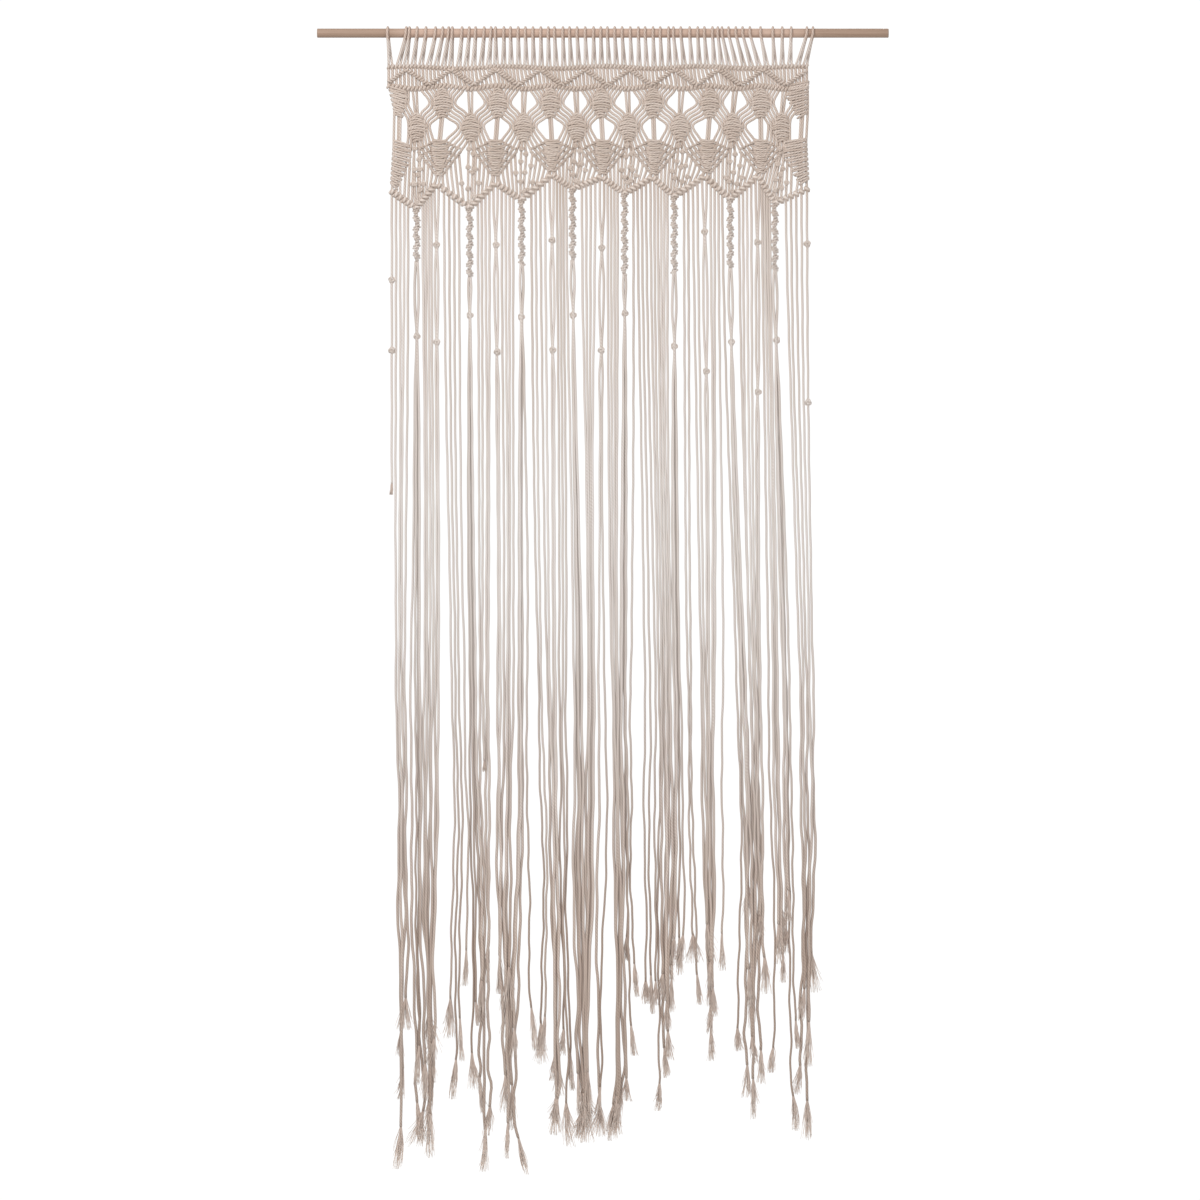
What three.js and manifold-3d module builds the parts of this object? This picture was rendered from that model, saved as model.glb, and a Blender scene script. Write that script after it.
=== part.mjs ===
// A macrame curtain that hangs on a wooden rod. Folded cords are looped over the rod, tied into two
// horizontal bars, three staggered rows of leaf knots and a zigzag bottom edge, and fall from there as fringe.
// Millimetres. X runs along the rod, +Y points away from the viewer, +Z is up, and the origin is the middle
// of the rod's axis.
import * as THREE from "three";
import { mergeVertices } from "three/addons/utils/BufferGeometryUtils.js";
import Module from "manifold-3d";

const wasm = await Module();
wasm.setup();

// Driving dimensions

const ROD = { length: 1000, radius: 8, sides: 16 };
const CORD_RADIUS = 2.3; // to the corner of a three sided strand, which is then 4 mm wide
const FIT_GAP = 0.3;
const SMALLEST_EDGE = 0.02;

const REPEATS_ACROSS = 8;
const STRANDS_PER_REPEAT = 14;
const STRANDS = REPEATS_ACROSS * STRANDS_PER_REPEAT;
const SIDE_STRANDS = 5; // strands that wrap each side of a leaf knot
const HALF_REPEAT = STRANDS_PER_REPEAT / 2;

const BAR = { left: -378, right: 360, halfHeight: 3.6, halfDepth: 4.6, groove: 0.75 };
const RIDGE_STRANDS = 4;
const UPPER_BAR = { z: -60, wave: 2, wavelength: 170 };
const LOWER_BAR = { z: -95, wave: 2.5 };
const ZIGZAG = { firstValley: -304, pitch: 78, valleys: 9, highZ: -63, lowZ: -92, half: 2.5, y: -4.3 };

// Leaf knots, row by row: the heights of the top, the widest part and the bottom, and the half widths there.
const FIRST_ROW = { top: -95, wide: -121, bottom: -147, halfTop: 7, halfWide: 19, halfBottom: 5, ridges: 5 };
const SECOND_ROW = { top: -139, wide: -163, bottom: -189, halfTop: 7, halfWide: 19, halfBottom: 5, ridges: 5 };
const THIRD_ROW = { top: -187, wide: -206, bottom: -241, halfTop: 9, halfWide: 34, halfBottom: 4, ridges: 5 };
const KNOT_THICKNESS = 10;
const RIDGE_DEPTH = 1.6;
const EDGE_KNOT_HALF = 7; // how far a half knot at the side edge reaches past its filler strand

// Seams between the repeats, left to right: where the first and third row knots sit, and the peak of the
// bottom edge below them.
const SEAMS = [
  { firstX: -364, thirdX: -365, peakX: -373, peakZ: -275 },
  { firstX: -281, thirdX: -286, peakX: -292, peakZ: -264 },
  { firstX: -184, thirdX: -188, peakX: -188, peakZ: -262 },
  { firstX: -92, thirdX: -89, peakX: -89, peakZ: -247 },
  { firstX: -3, thirdX: 0, peakX: -1, peakZ: -252 },
  { firstX: 88, thirdX: 90, peakX: 87, peakZ: -252 },
  { firstX: 187, thirdX: 183, peakX: 178, peakZ: -250 },
  { firstX: 276, thirdX: 277, peakX: 271, peakZ: -250 },
  { firstX: 353, thirdX: 350, peakX: 362, peakZ: -271 },
];

// Repeats, left to right: the second row knot, the valley of the bottom edge and the spiral sinnet below it.
const REPEATS = [
  { secondX: -326, valleyX: -326, valleyZ: -307, sinnet: 94 },
  { secondX: -231, valleyX: -233, valleyZ: -306, sinnet: 122 },
  { secondX: -139, valleyX: -142, valleyZ: -292, sinnet: 113 },
  { secondX: -45, valleyX: -53, valleyZ: -273, sinnet: 126 },
  { secondX: 45, valleyX: 38, valleyZ: -281, sinnet: 142 },
  { secondX: 135, valleyX: 125, valleyZ: -286, sinnet: 133 },
  { secondX: 227, valleyX: 223, valleyZ: -291, sinnet: 121 },
  { secondX: 313, valleyX: 301, valleyZ: -298, sinnet: 117 },
];

// How far the loops on the rod lean sideways from where their legs enter the upper bar.
const LEANS = [
  { barX: -375, shift: -4 },
  { barX: -363, shift: 12 },
  { barX: -345, shift: 6 },
  { barX: -310, shift: 10 },
  { barX: -285, shift: 10 },
  { barX: -255, shift: -2 },
  { barX: -195, shift: 8 },
  { barX: -115, shift: -2 },
  { barX: 5, shift: 5 },
  { barX: 150, shift: 0 },
  { barX: 210, shift: -4 },
  { barX: 235, shift: -10 },
  { barX: 284, shift: -9 },
  { barX: 300, shift: 0 },
  { barX: 340, shift: 9 },
  { barX: 357, shift: 12 },
];

// Clumps of the fringe, left to right, at CLUMP_Z: the middle, the width, the number of strands, and how far
// below the rod the shortest and the longest of them end.
const CLUMPS = [
  { x: -353, width: 26, strands: 6, shortest: 1745, longest: 1988 },
  { x: -324, width: 0, strands: 1, shortest: 1841, longest: 1841 },
  { x: -303, width: 29, strands: 8, shortest: 1787, longest: 1969 },
  { x: -257, width: 12, strands: 3, shortest: 1760, longest: 1866 },
  { x: -234, width: 13, strands: 3, shortest: 1668, longest: 1850 },
  { x: -208, width: 23, strands: 6, shortest: 1663, longest: 1993 },
  { x: -164, width: 32, strands: 9, shortest: 1682, longest: 2000 },
  { x: -109, width: 13, strands: 3, shortest: 1783, longest: 1806 },
  { x: -84, width: 13, strands: 4, shortest: 1834, longest: 1929 },
  { x: -65, width: 11, strands: 3, shortest: 1790, longest: 1950 },
  { x: -30, width: 31, strands: 10, shortest: 1887, longest: 1942 },
  { x: 5, width: 0, strands: 1, shortest: 1895, longest: 1895 },
  { x: 26, width: 15, strands: 6, shortest: 1870, longest: 1940 },
  { x: 46, width: 11, strands: 3, shortest: 1624, longest: 1790 },
  { x: 82, width: 8, strands: 2, shortest: 1700, longest: 1717 },
  { x: 97, width: 5, strands: 2, shortest: 1702, longest: 1887 },
  { x: 114, width: 20, strands: 7, shortest: 1631, longest: 1829 },
  { x: 136, width: 9, strands: 2, shortest: 1631, longest: 1650 },
  { x: 155, width: 6, strands: 2, shortest: 1629, longest: 1701 },
  { x: 189, width: 16, strands: 6, shortest: 1628, longest: 1800 },
  { x: 212, width: 0, strands: 1, shortest: 1642, longest: 1642 },
  { x: 240, width: 0, strands: 1, shortest: 1782, longest: 1782 },
  { x: 262, width: 30, strands: 10, shortest: 1548, longest: 1901 },
  { x: 298, width: 0, strands: 1, shortest: 1820, longest: 1820 },
  { x: 315, width: 16, strands: 5, shortest: 1557, longest: 1663 },
  { x: 333, width: 0, strands: 1, shortest: 1922, longest: 1922 },
  { x: 343, width: 0, strands: 1, shortest: 1778, longest: 1778 },
  { x: 359, width: 17, strands: 5, shortest: 1680, longest: 1938 },
];
const CLUMP_Z = -1517;
const GOLDEN = 0.618;

// Strands that broke off short.
const BROKEN = [
  { strand: 0, below: 808 },
  { strand: 24, below: 1293 },
];

const FRINGE_LEVELS = [-620, -1080];
const TUFT = { length: 38, flare: 1.5 };
const LAYER_DEPTH = 3; // strands of a clump lie in two layers, this far before and behind the middle
const SWAY = { size: 4, along: 0.05, down: 0.004, phase: 0.6 };
const SINNET = { radius: 6, step: 13, twist: Math.PI / 4, spread: 2.6, overlap: 1.5 };
const SINNET_STRANDS = 4;

const cotton = new THREE.MeshStandardMaterial({ color: 0xcfc3ba, roughness: 0.95, metalness: 0 });
const wood = new THREE.MeshStandardMaterial({ color: 0xae8f7c, roughness: 0.6, metalness: 0 });

// Small helpers

const { lerp, clamp } = THREE.MathUtils;
const vec = (x, y, z) => new THREE.Vector3(x, y, z);
const fraction = (value) => value - Math.floor(value);

// A value read off a table by straight lines between its rows.
function readTable(rows, input, output, at) {
  const next = rows.findIndex((row) => row[input] > at);
  if (next === 0) return rows[0][output];
  if (next < 0) return rows[rows.length - 1][output];
  const [a, b] = [rows[next - 1], rows[next]];
  return lerp(a[output], b[output], (at - a[input]) / (b[input] - a[input]));
}

// A path of straight lines whose steps fall on its corners. The section's first axis follows `side`, turned
// by `twist` at every corner and drawn in to `groove` at every second one.
class Route extends THREE.Curve {
  constructor(corners, side, { twist = 0, groove = 1 } = {}) {
    super();
    this.corners = corners;
    this.side = side;
    this.twist = twist;
    this.groove = groove;
  }

  get steps() {
    return this.corners.length - 1;
  }

  getPoint(t) {
    const at = Math.min(Math.floor(t * this.steps), this.steps - 1);
    return this.corners[at].clone().lerp(this.corners[at + 1], t * this.steps - at);
  }

  getSpacedPoints() {
    return this.corners;
  }

  computeFrenetFrames() {
    const lines = this.corners.slice(1).map((corner, i) => corner.clone().sub(this.corners[i]).normalize());
    const arriving = (i) => lines[Math.max(i - 1, 0)];
    const leaving = (i) => lines[Math.min(i, this.steps - 1)];
    const tangents = this.corners.map((_, i) => arriving(i).clone().add(leaving(i)).normalize());
    const normals = tangents.map((tangent, i) => {
      const across = this.side.clone().addScaledVector(tangent, -this.side.dot(tangent)).normalize();
      return across.applyAxisAngle(tangent, this.twist * i);
    });
    const binormals = tangents.map((tangent, i) => {
      const mitre = 1 / arriving(i).dot(tangent);
      return tangent.clone().cross(normals[i]).multiplyScalar(mitre);
    });
    normals.forEach((normal, i) => normal.multiplyScalar(i % 2 ? this.groove : 1));
    return { tangents, normals, binormals };
  }
}

// A regular section with `sides` corners, the first of them at `turn`, pressed flat by `squash`.
function section(sides, radius, turn = 0, squash = 1) {
  const corners = Array.from({ length: sides }, (_, i) => {
    const angle = turn + (i * 2 * Math.PI) / sides;
    return new THREE.Vector2(radius * Math.cos(angle), radius * squash * Math.sin(angle));
  });
  return new THREE.Shape(corners);
}

function rectangle(halfAcross, halfUp) {
  return new THREE.Shape([
    new THREE.Vector2(halfAcross, halfUp),
    new THREE.Vector2(-halfAcross, halfUp),
    new THREE.Vector2(-halfAcross, -halfUp),
    new THREE.Vector2(halfAcross, -halfUp),
  ]);
}

function sweep(shape, route) {
  return new THREE.ExtrudeGeometry(shape, { steps: route.steps, extrudePath: route, curveSegments: 1 });
}

function solid(geometry) {
  const bare = geometry.clone();
  bare.deleteAttribute("normal");
  bare.deleteAttribute("uv");
  const merged = mergeVertices(bare, 1e-4);
  return new wasm.Manifold(
    new wasm.Mesh({
      numProp: 3,
      vertProperties: new Float32Array(merged.attributes.position.array),
      triVerts: new Uint32Array(merged.index.array),
    }),
  );
}

// Joins solids two by two, so that no join is larger than it needs to be.
function join(solids) {
  let round = solids;
  while (round.length > 1) {
    const joined = [];
    for (let i = 0; i < round.length; i += 2) {
      joined.push(i + 1 < round.length ? round[i].add(round[i + 1]) : round[i]);
    }
    round = joined;
  }
  return round[0];
}

function meshOf(name, made, material) {
  const { vertProperties, triVerts } = made.getMesh();
  const geometry = new THREE.BufferGeometry();
  geometry.setAttribute("position", new THREE.BufferAttribute(vertProperties, 3));
  geometry.setIndex(new THREE.BufferAttribute(triVerts, 1));
  geometry.computeVertexNormals();
  const mesh = new THREE.Mesh(geometry, material);
  mesh.name = name;
  return mesh;
}

const ALONG = vec(1, 0, 0);
const DEPTH = vec(0, 1, 0);
const CORD_SECTION = section(3, CORD_RADIUS, -Math.PI / 2);
const PAIR_SECTION = section(3, 2 * CORD_RADIUS, -Math.PI / 2, 0.5);

// A strand and a pair of strands side by side, straight from corner to corner.
const strand = (corners) => solid(sweep(CORD_SECTION, new Route(corners, ALONG)));
const pair = (corners) => solid(sweep(PAIR_SECTION, new Route(corners, ALONG)));

// The members of a band beside a knot, counted outwards from its middle: two pairs and a single strand.
const BAND = [
  { place: 0.5, lay: pair },
  { place: 2.5, lay: pair },
  { place: 4, lay: strand },
];

// Where the strands run

const repeatOf = (i) => Math.floor(i / STRANDS_PER_REPEAT);
const placeInRepeat = (i) => i % STRANDS_PER_REPEAT;
const upperBarX = (i) => lerp(BAR.left, BAR.right, (i + 0.5) / STRANDS);
const upperBarZ = (x) => UPPER_BAR.z + UPPER_BAR.wave * Math.cos((2 * Math.PI * x) / UPPER_BAR.wavelength);

// The seams as they stand on the lower bar, which they share out among the repeats.
const SEAM_X = SEAMS.map(({ firstX }, k) => {
  if (k === 0) return BAR.left;
  if (k === REPEATS_ACROSS) return BAR.right;
  return firstX;
});

function lowerBarX(i) {
  const r = clamp(repeatOf(i + 0.5), 0, REPEATS_ACROSS - 1);
  return lerp(SEAM_X[r], SEAM_X[r + 1], (i + 0.5) / STRANDS_PER_REPEAT - r);
}

// The lower bar rises over every first row knot and dips between them.
function lowerBarZ(x) {
  const r = clamp(SEAM_X.findIndex((seam) => seam > x) - 1, 0, REPEATS_ACROSS - 1);
  const across = (x - SEAM_X[r]) / (SEAM_X[r + 1] - SEAM_X[r]);
  return LOWER_BAR.z + LOWER_BAR.wave * Math.cos(2 * Math.PI * across);
}

// A strand's place on the zigzag bottom edge: half a repeat of strands on each limb.
function edgePoint(i) {
  const r = repeatOf(i);
  const place = placeInRepeat(i);
  const { valleyX, valleyZ } = REPEATS[r];
  const peak = place < HALF_REPEAT ? SEAMS[r] : SEAMS[r + 1];
  const fromValley = Math.abs(place + 0.5 - HALF_REPEAT) / HALF_REPEAT;
  return vec(lerp(valleyX, peak.peakX, fromValley), 0, lerp(valleyZ, peak.peakZ, fromValley));
}

// Bars of hitches, with a ridge or a groove after every four strands

function bar(corners) {
  const route = new Route(corners, DEPTH, { groove: BAR.groove });
  return solid(sweep(rectangle(BAR.halfDepth, BAR.halfHeight), route));
}

// Places between the strands where a ridge or groove falls, from one side edge to the other.
const RIDGE_PLACES = Array.from({ length: STRANDS / RIDGE_STRANDS + 1 }, (_, m) => RIDGE_STRANDS * m - 0.5);

function upperBar() {
  return bar(RIDGE_PLACES.map((i) => vec(upperBarX(i), 0, upperBarZ(upperBarX(i)))));
}

function lowerBar() {
  return bar(RIDGE_PLACES.map((i) => vec(lowerBarX(i), 0, lowerBarZ(lowerBarX(i)))));
}

// The zigzag lies on the front of the strands and is tied into both bars.
function zigzagBar() {
  const turns = Array.from({ length: 2 * ZIGZAG.valleys + 1 }, (_, i) => {
    const x = ZIGZAG.firstValley + (i - 1) * (ZIGZAG.pitch / 2);
    return vec(Math.min(x, BAR.right - ZIGZAG.half), ZIGZAG.y, i % 2 ? ZIGZAG.lowZ : ZIGZAG.highZ);
  });
  return solid(sweep(rectangle(ZIGZAG.half, ZIGZAG.half), new Route(turns, DEPTH)));
}

// Heading: a folded cord over the rod for every two strands, and the pairs that run from bar to bar.

function loop(m) {
  const front = upperBarX(2 * m);
  const back = upperBarX(2 * m + 1);
  const middle = (front + back) / 2;
  const onRod = middle + readTable(LEANS, "barX", "shift", middle);
  const around = (ROD.radius + FIT_GAP + CORD_RADIUS / 2) / Math.cos(Math.PI / 6);
  const over = [180, 120, 60, 0].map((degrees) => {
    const angle = THREE.MathUtils.degToRad(degrees);
    return vec(onRod, around * Math.cos(angle), around * Math.sin(angle));
  });
  return strand([vec(front, 0, upperBarZ(front)), ...over, vec(back, 0, upperBarZ(back))]);
}

function barToBar(m) {
  const top = (upperBarX(2 * m) + upperBarX(2 * m + 1)) / 2;
  const bottom = (lowerBarX(2 * m) + lowerBarX(2 * m + 1)) / 2;
  return pair([vec(top, 0, upperBarZ(top)), vec(bottom, 0, lowerBarZ(bottom))]);
}

// Leaf knots: ridged across, with a six cornered outline. A half knot at a side edge has one upright side.

function leafKnot(x, row, reach) {
  const { top, wide, bottom, halfTop, halfWide, halfBottom, ridges } = row;
  const crest = KNOT_THICKNESS / 2;
  const face = Array.from({ length: 2 * ridges + 1 }, (_, i) => {
    const depth = i % 2 ? crest : crest - RIDGE_DEPTH;
    return new THREE.Vector2(depth, lerp(top, bottom, i / (2 * ridges)));
  });
  const back = face.map(({ x: depth, y: z }) => new THREE.Vector2(-depth, z)).reverse();
  const width = 2 * halfWide;
  const ridged = new THREE.ExtrudeGeometry(new THREE.Shape([...face, ...back]), { depth: width });
  ridged.applyMatrix4(new THREE.Matrix4().makeBasis(DEPTH, vec(0, 0, 1), ALONG));
  ridged.translate(x - halfWide, 0, 0);

  const side = (sign, limit) =>
    [
      [halfTop, top + 1],
      [halfWide, wide],
      [halfBottom, bottom - 1],
    ].map(([half, z]) => new THREE.Vector2(sign * Math.min(half, limit), z));
  const outline = new THREE.Shape([...side(-1, reach.left), ...side(1, reach.right).reverse()]);
  const block = new THREE.ExtrudeGeometry(outline, { depth: 2 * KNOT_THICKNESS });
  block.applyMatrix4(new THREE.Matrix4().makeBasis(ALONG, vec(0, 0, 1), vec(0, -1, 0)));
  block.translate(x, KNOT_THICKNESS, 0);
  return solid(ridged).intersect(solid(block));
}

function reachAt(seam, row) {
  return {
    left: seam === 0 ? EDGE_KNOT_HALF : row.halfWide,
    right: seam === REPEATS_ACROSS ? EDGE_KNOT_HALF : row.halfWide,
  };
}

// Points a little inside a knot's slanted sides: `sign` picks the side, `t` runs down that side from 0 to 1.

const INSET = 2;

function upperSide(x, row, sign, t) {
  const half = lerp(row.halfTop, row.halfWide, t) - INSET;
  return vec(x + sign * half, 0, lerp(row.top, row.wide, t) - INSET);
}

function lowerSide(x, row, sign, t) {
  const half = lerp(row.halfWide, row.halfBottom, t) - INSET;
  return vec(x + sign * half, 0, lerp(row.wide, row.bottom, t) + INSET);
}

// The five strands on one side of a seam, from the lower bar down to the bottom edge. They join the first row
// knot of the seam, cross to the second row knot of the repeat beside it, and come back to the third row knot.
// Two of every three members of a band are pairs lying side by side.
function sideStrands(seam, sign) {
  const repeat = sign > 0 ? seam : seam - 1;
  const { firstX, thirdX } = SEAMS[seam];
  const { secondX } = REPEATS[repeat];
  return BAND.flatMap(({ place, lay }) => {
    const i = STRANDS_PER_REPEAT * seam - 0.5 + sign * (place + 1.5);
    const t = (place + 0.5) / SIDE_STRANDS;
    const bar = lowerBarX(i);
    return [
      lay([vec(bar, 0, lowerBarZ(bar)), upperSide(firstX, FIRST_ROW, sign, t)]),
      lay([lowerSide(firstX, FIRST_ROW, sign, 1 - t), upperSide(secondX, SECOND_ROW, -sign, 1 - t)]),
      lay([lowerSide(secondX, SECOND_ROW, -sign, t), upperSide(thirdX, THIRD_ROW, sign, t)]),
      lay([lowerSide(thirdX, THIRD_ROW, sign, 1 - t), edgePoint(i)]),
    ];
  });
}

// The two filler strands of a seam skip the second row, and those of a repeat skip the first and the third.
function fillers() {
  const made = [];
  SEAMS.forEach(({ firstX, thirdX, peakX, peakZ }) => {
    made.push(pair([vec(firstX, 0, FIRST_ROW.bottom + INSET), vec(thirdX, 0, THIRD_ROW.top - INSET)]));
    made.push(pair([vec(thirdX, 0, THIRD_ROW.bottom + INSET), vec(peakX, 0, peakZ)]));
  });
  REPEATS.forEach(({ secondX, valleyX, valleyZ }, r) => {
    const bar = lerp(SEAM_X[r], SEAM_X[r + 1], 0.5);
    made.push(pair([vec(bar, 0, lowerBarZ(bar)), vec(secondX, 0, SECOND_ROW.top - INSET)]));
    made.push(pair([vec(secondX, 0, SECOND_ROW.bottom + INSET), vec(valleyX, 0, valleyZ)]));
  });
  return made;
}

const EDGE_RIDGES = [2, 5, HALF_REPEAT]; // strands passed on a limb of the bottom edge before each ridge

// The bottom edge, a zigzag bar from peak to valley to peak, grown by `extra` where it is used to cut.
function edgeBar(extra = 0) {
  const turns = [vec(SEAMS[0].peakX, 0, SEAMS[0].peakZ)];
  REPEATS.forEach(({ valleyX, valleyZ }, r) => {
    const { peakX, peakZ } = SEAMS[r + 1];
    turns.push(vec(valleyX, 0, valleyZ), vec(peakX, 0, peakZ));
  });
  const corners = turns.slice(1).flatMap((turn, limb) =>
    EDGE_RIDGES.map((strands) => turns[limb].clone().lerp(turn, strands / HALF_REPEAT)),
  );
  const shape = rectangle(BAR.halfDepth + extra, BAR.halfHeight + extra);
  return solid(sweep(shape, new Route([turns[0], ...corners], DEPTH, { groove: BAR.groove })));
}

function panel() {
  const pieces = [upperBar(), lowerBar(), zigzagBar()];
  for (let m = 0; m < STRANDS / 2; m += 1) pieces.push(loop(m), barToBar(m));
  SEAMS.forEach(({ firstX, thirdX }, seam) => {
    pieces.push(leafKnot(firstX, FIRST_ROW, reachAt(seam, FIRST_ROW)));
    pieces.push(leafKnot(thirdX, THIRD_ROW, reachAt(seam, THIRD_ROW)));
    if (seam > 0) pieces.push(...sideStrands(seam, -1));
    if (seam < REPEATS_ACROSS) pieces.push(...sideStrands(seam, 1));
  });
  REPEATS.forEach(({ secondX }) => {
    const whole = { left: SECOND_ROW.halfWide, right: SECOND_ROW.halfWide };
    pieces.push(leafKnot(secondX, SECOND_ROW, whole));
  });
  pieces.push(...fillers());
  return join(pieces).subtract(edgeBar(2 * FIT_GAP)).simplify(SMALLEST_EDGE);
}

// Fringe

// Which clump a strand falls into, and its place in it.
function clumpOf(i) {
  let first = 0;
  const row = CLUMPS.find(({ strands }) => {
    const inside = i < first + strands;
    if (!inside) first += strands;
    return inside;
  });
  return { ...row, place: i - first };
}

// Neighbours in a clump end at well spread heights, and each clump fills its own range.
function fringeEnd(i) {
  const broken = BROKEN.find((row) => row.strand === i);
  if (broken) return -broken.below;
  const { place, strands, shortest, longest } = clumpOf(i);
  const shares = Array.from({ length: strands }, (_, n) => fraction(GOLDEN * (n + longest)));
  const [least, most] = [Math.min(...shares), Math.max(...shares)];
  return -lerp(shortest, longest, strands > 1 ? (shares[place] - least) / (most - least) : 0);
}

const inSinnet = (i) => Math.abs(placeInRepeat(i) + 0.5 - HALF_REPEAT) < SINNET_STRANDS / 2;

// Where a strand leaves the bottom edge, or the end of the sinnet that holds it.
function fringeRoot(i) {
  if (!inSinnet(i)) return edgePoint(i);
  const { valleyX, valleyZ, sinnet } = REPEATS[repeatOf(i)];
  const x = valleyX + SINNET.spread * (placeInRepeat(i) + 0.5 - HALF_REPEAT);
  return vec(x, layerOf(i), valleyZ - sinnet + SINNET.overlap);
}

const layerOf = (i) => (i % 2 ? LAYER_DEPTH : -LAYER_DEPTH);

// A strand's place at height z. It drifts from its root into its clump, and the clumps sway together.
function fringePoint(i, z) {
  const root = fringeRoot(i);
  const { x, width, strands, place } = clumpOf(i);
  const inClump = x + (strands > 1 ? width * (place / (strands - 1) - 0.5) : 0);
  const drift = clamp((root.z - z) / (root.z - CLUMP_Z), 0, 1);
  const eased = 0.4 * drift + 0.6 * drift * drift * (3 - 2 * drift);
  const straight = lerp(root.x, inClump, eased);
  const sway = SWAY.size * eased * Math.sin(SWAY.along * straight + SWAY.down * z + SWAY.phase);
  return vec(straight + sway, lerp(root.y, layerOf(i), eased), z);
}

// A strand from its root to its frayed tip, whose last stretch flares.
function fringeStrand(i) {
  const root = fringeRoot(i);
  const end = fringeEnd(i);
  const levels = FRINGE_LEVELS.filter((z) => z > end + 4 * TUFT.length);
  const tip = fringePoint(i, end);
  const corners = [root, ...[...levels, end + TUFT.length].map((z) => fringePoint(i, z)), tip];
  const geometry = sweep(CORD_SECTION, new Route(corners, ALONG));
  const position = geometry.attributes.position;
  for (let v = 0; v < position.count; v += 1) {
    const at = vec().fromBufferAttribute(position, v);
    if (at.distanceTo(tip) < 2 * CORD_RADIUS) {
      at.sub(tip).multiplyScalar(TUFT.flare).add(tip);
      position.setXYZ(v, at.x, at.y, at.z);
    }
  }
  return solid(geometry);
}

// A chain of half knots, which turns round itself as it grows.
function sinnet({ valleyX, valleyZ, sinnet: length }) {
  const steps = Math.round(length / SINNET.step);
  const corners = Array.from({ length: steps + 1 }, (_, i) => vec(valleyX, 0, valleyZ - (length * i) / steps));
  return solid(sweep(section(4, SINNET.radius), new Route(corners, ALONG, { twist: SINNET.twist })));
}

function fringe() {
  const pieces = [edgeBar(), ...REPEATS.map(sinnet)];
  for (let i = 0; i < STRANDS; i += 1) pieces.push(fringeStrand(i));
  return join(pieces).simplify(SMALLEST_EDGE);
}

function rod() {
  const geometry = new THREE.CylinderGeometry(ROD.radius, ROD.radius, ROD.length, ROD.sides);
  const mesh = new THREE.Mesh(geometry, wood);
  mesh.name = "rod";
  mesh.rotation.z = Math.PI / 2;
  return mesh;
}

const curtain = new THREE.Group();
curtain.add(rod(), meshOf("knotted_panel", panel(), cotton), meshOf("fringe", fringe(), cotton));

export default curtain;
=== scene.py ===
# %% [markdown]
# A macrame curtain on a wooden rod
#
# The real curtain is tied from one kind of twisted cotton cord. Folded cords hang over a rod, are hitched
# into two level bars with a zigzag between them, spread into three rows of leaf knots and a zigzag edge, and
# fall from there as a long fringe with frayed ends. The packed part holds all of that as plain solids. This
# lesson keeps their places and dresses them: every cord becomes a round tube, every knot the turns it is
# tied from. The first cell loads the part. The looks may not outgrow it.

import bpy
import numpy as np
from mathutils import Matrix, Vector


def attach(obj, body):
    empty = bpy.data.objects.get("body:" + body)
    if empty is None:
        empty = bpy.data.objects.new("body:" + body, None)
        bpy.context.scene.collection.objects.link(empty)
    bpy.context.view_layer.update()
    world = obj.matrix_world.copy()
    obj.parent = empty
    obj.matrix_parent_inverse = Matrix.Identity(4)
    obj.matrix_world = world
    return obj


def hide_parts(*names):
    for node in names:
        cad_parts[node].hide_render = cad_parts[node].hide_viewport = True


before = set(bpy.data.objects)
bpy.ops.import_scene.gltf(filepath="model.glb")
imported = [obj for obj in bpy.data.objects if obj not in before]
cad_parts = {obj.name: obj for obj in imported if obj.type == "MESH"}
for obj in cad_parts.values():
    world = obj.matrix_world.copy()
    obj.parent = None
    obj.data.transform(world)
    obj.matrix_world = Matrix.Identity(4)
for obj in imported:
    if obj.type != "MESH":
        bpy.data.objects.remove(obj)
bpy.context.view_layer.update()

# %% [markdown]
# Sizes of the cord and the layout of the strands
#
# A maker counts in millimetres down from the rod, so the lesson does too, and a mesh is turned into metres
# only when it is filled. There are 112 strands in 8 repeats of 14. A seam is the line between two repeats.
# Knowing which seam a strand leans on, on which side of it and how far out, is enough to say where it runs,
# so these facts are kept as arrays with one number for each strand.

# %% Number the strands
MM = 0.001
CORD_RADIUS = 2.0
REPEATS = 8
PER_REPEAT = 14
STRANDS = REPEATS * PER_REPEAT
SEED = 31

strand = np.arange(STRANDS)
repeat = strand // PER_REPEAT
place = strand % PER_REPEAT
in_right_half = place >= PER_REPEAT // 2
seam = repeat + in_right_half
side = np.where(in_right_half, -1, 1)
rank = np.where(in_right_half, PER_REPEAT - 1 - place, place)
is_seam_filler = rank == 0
is_repeat_filler = rank == PER_REPEAT // 2 - 1
chance = np.random.default_rng(SEED)
print(STRANDS, "strands,", is_seam_filler.sum(), "of them are fillers at the seams")

# %% [markdown]
# Where the rows stand
#
# The curtain is hand tied, so no two repeats are quite alike. Two short tables hold what differs from seam to
# seam and from repeat to repeat, the same numbers that the solids were built from. Each row of leaf knots
# shares one outline: the heights of its top, widest part and bottom, the half widths there, and whether its
# strands bow out beyond it.

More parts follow.
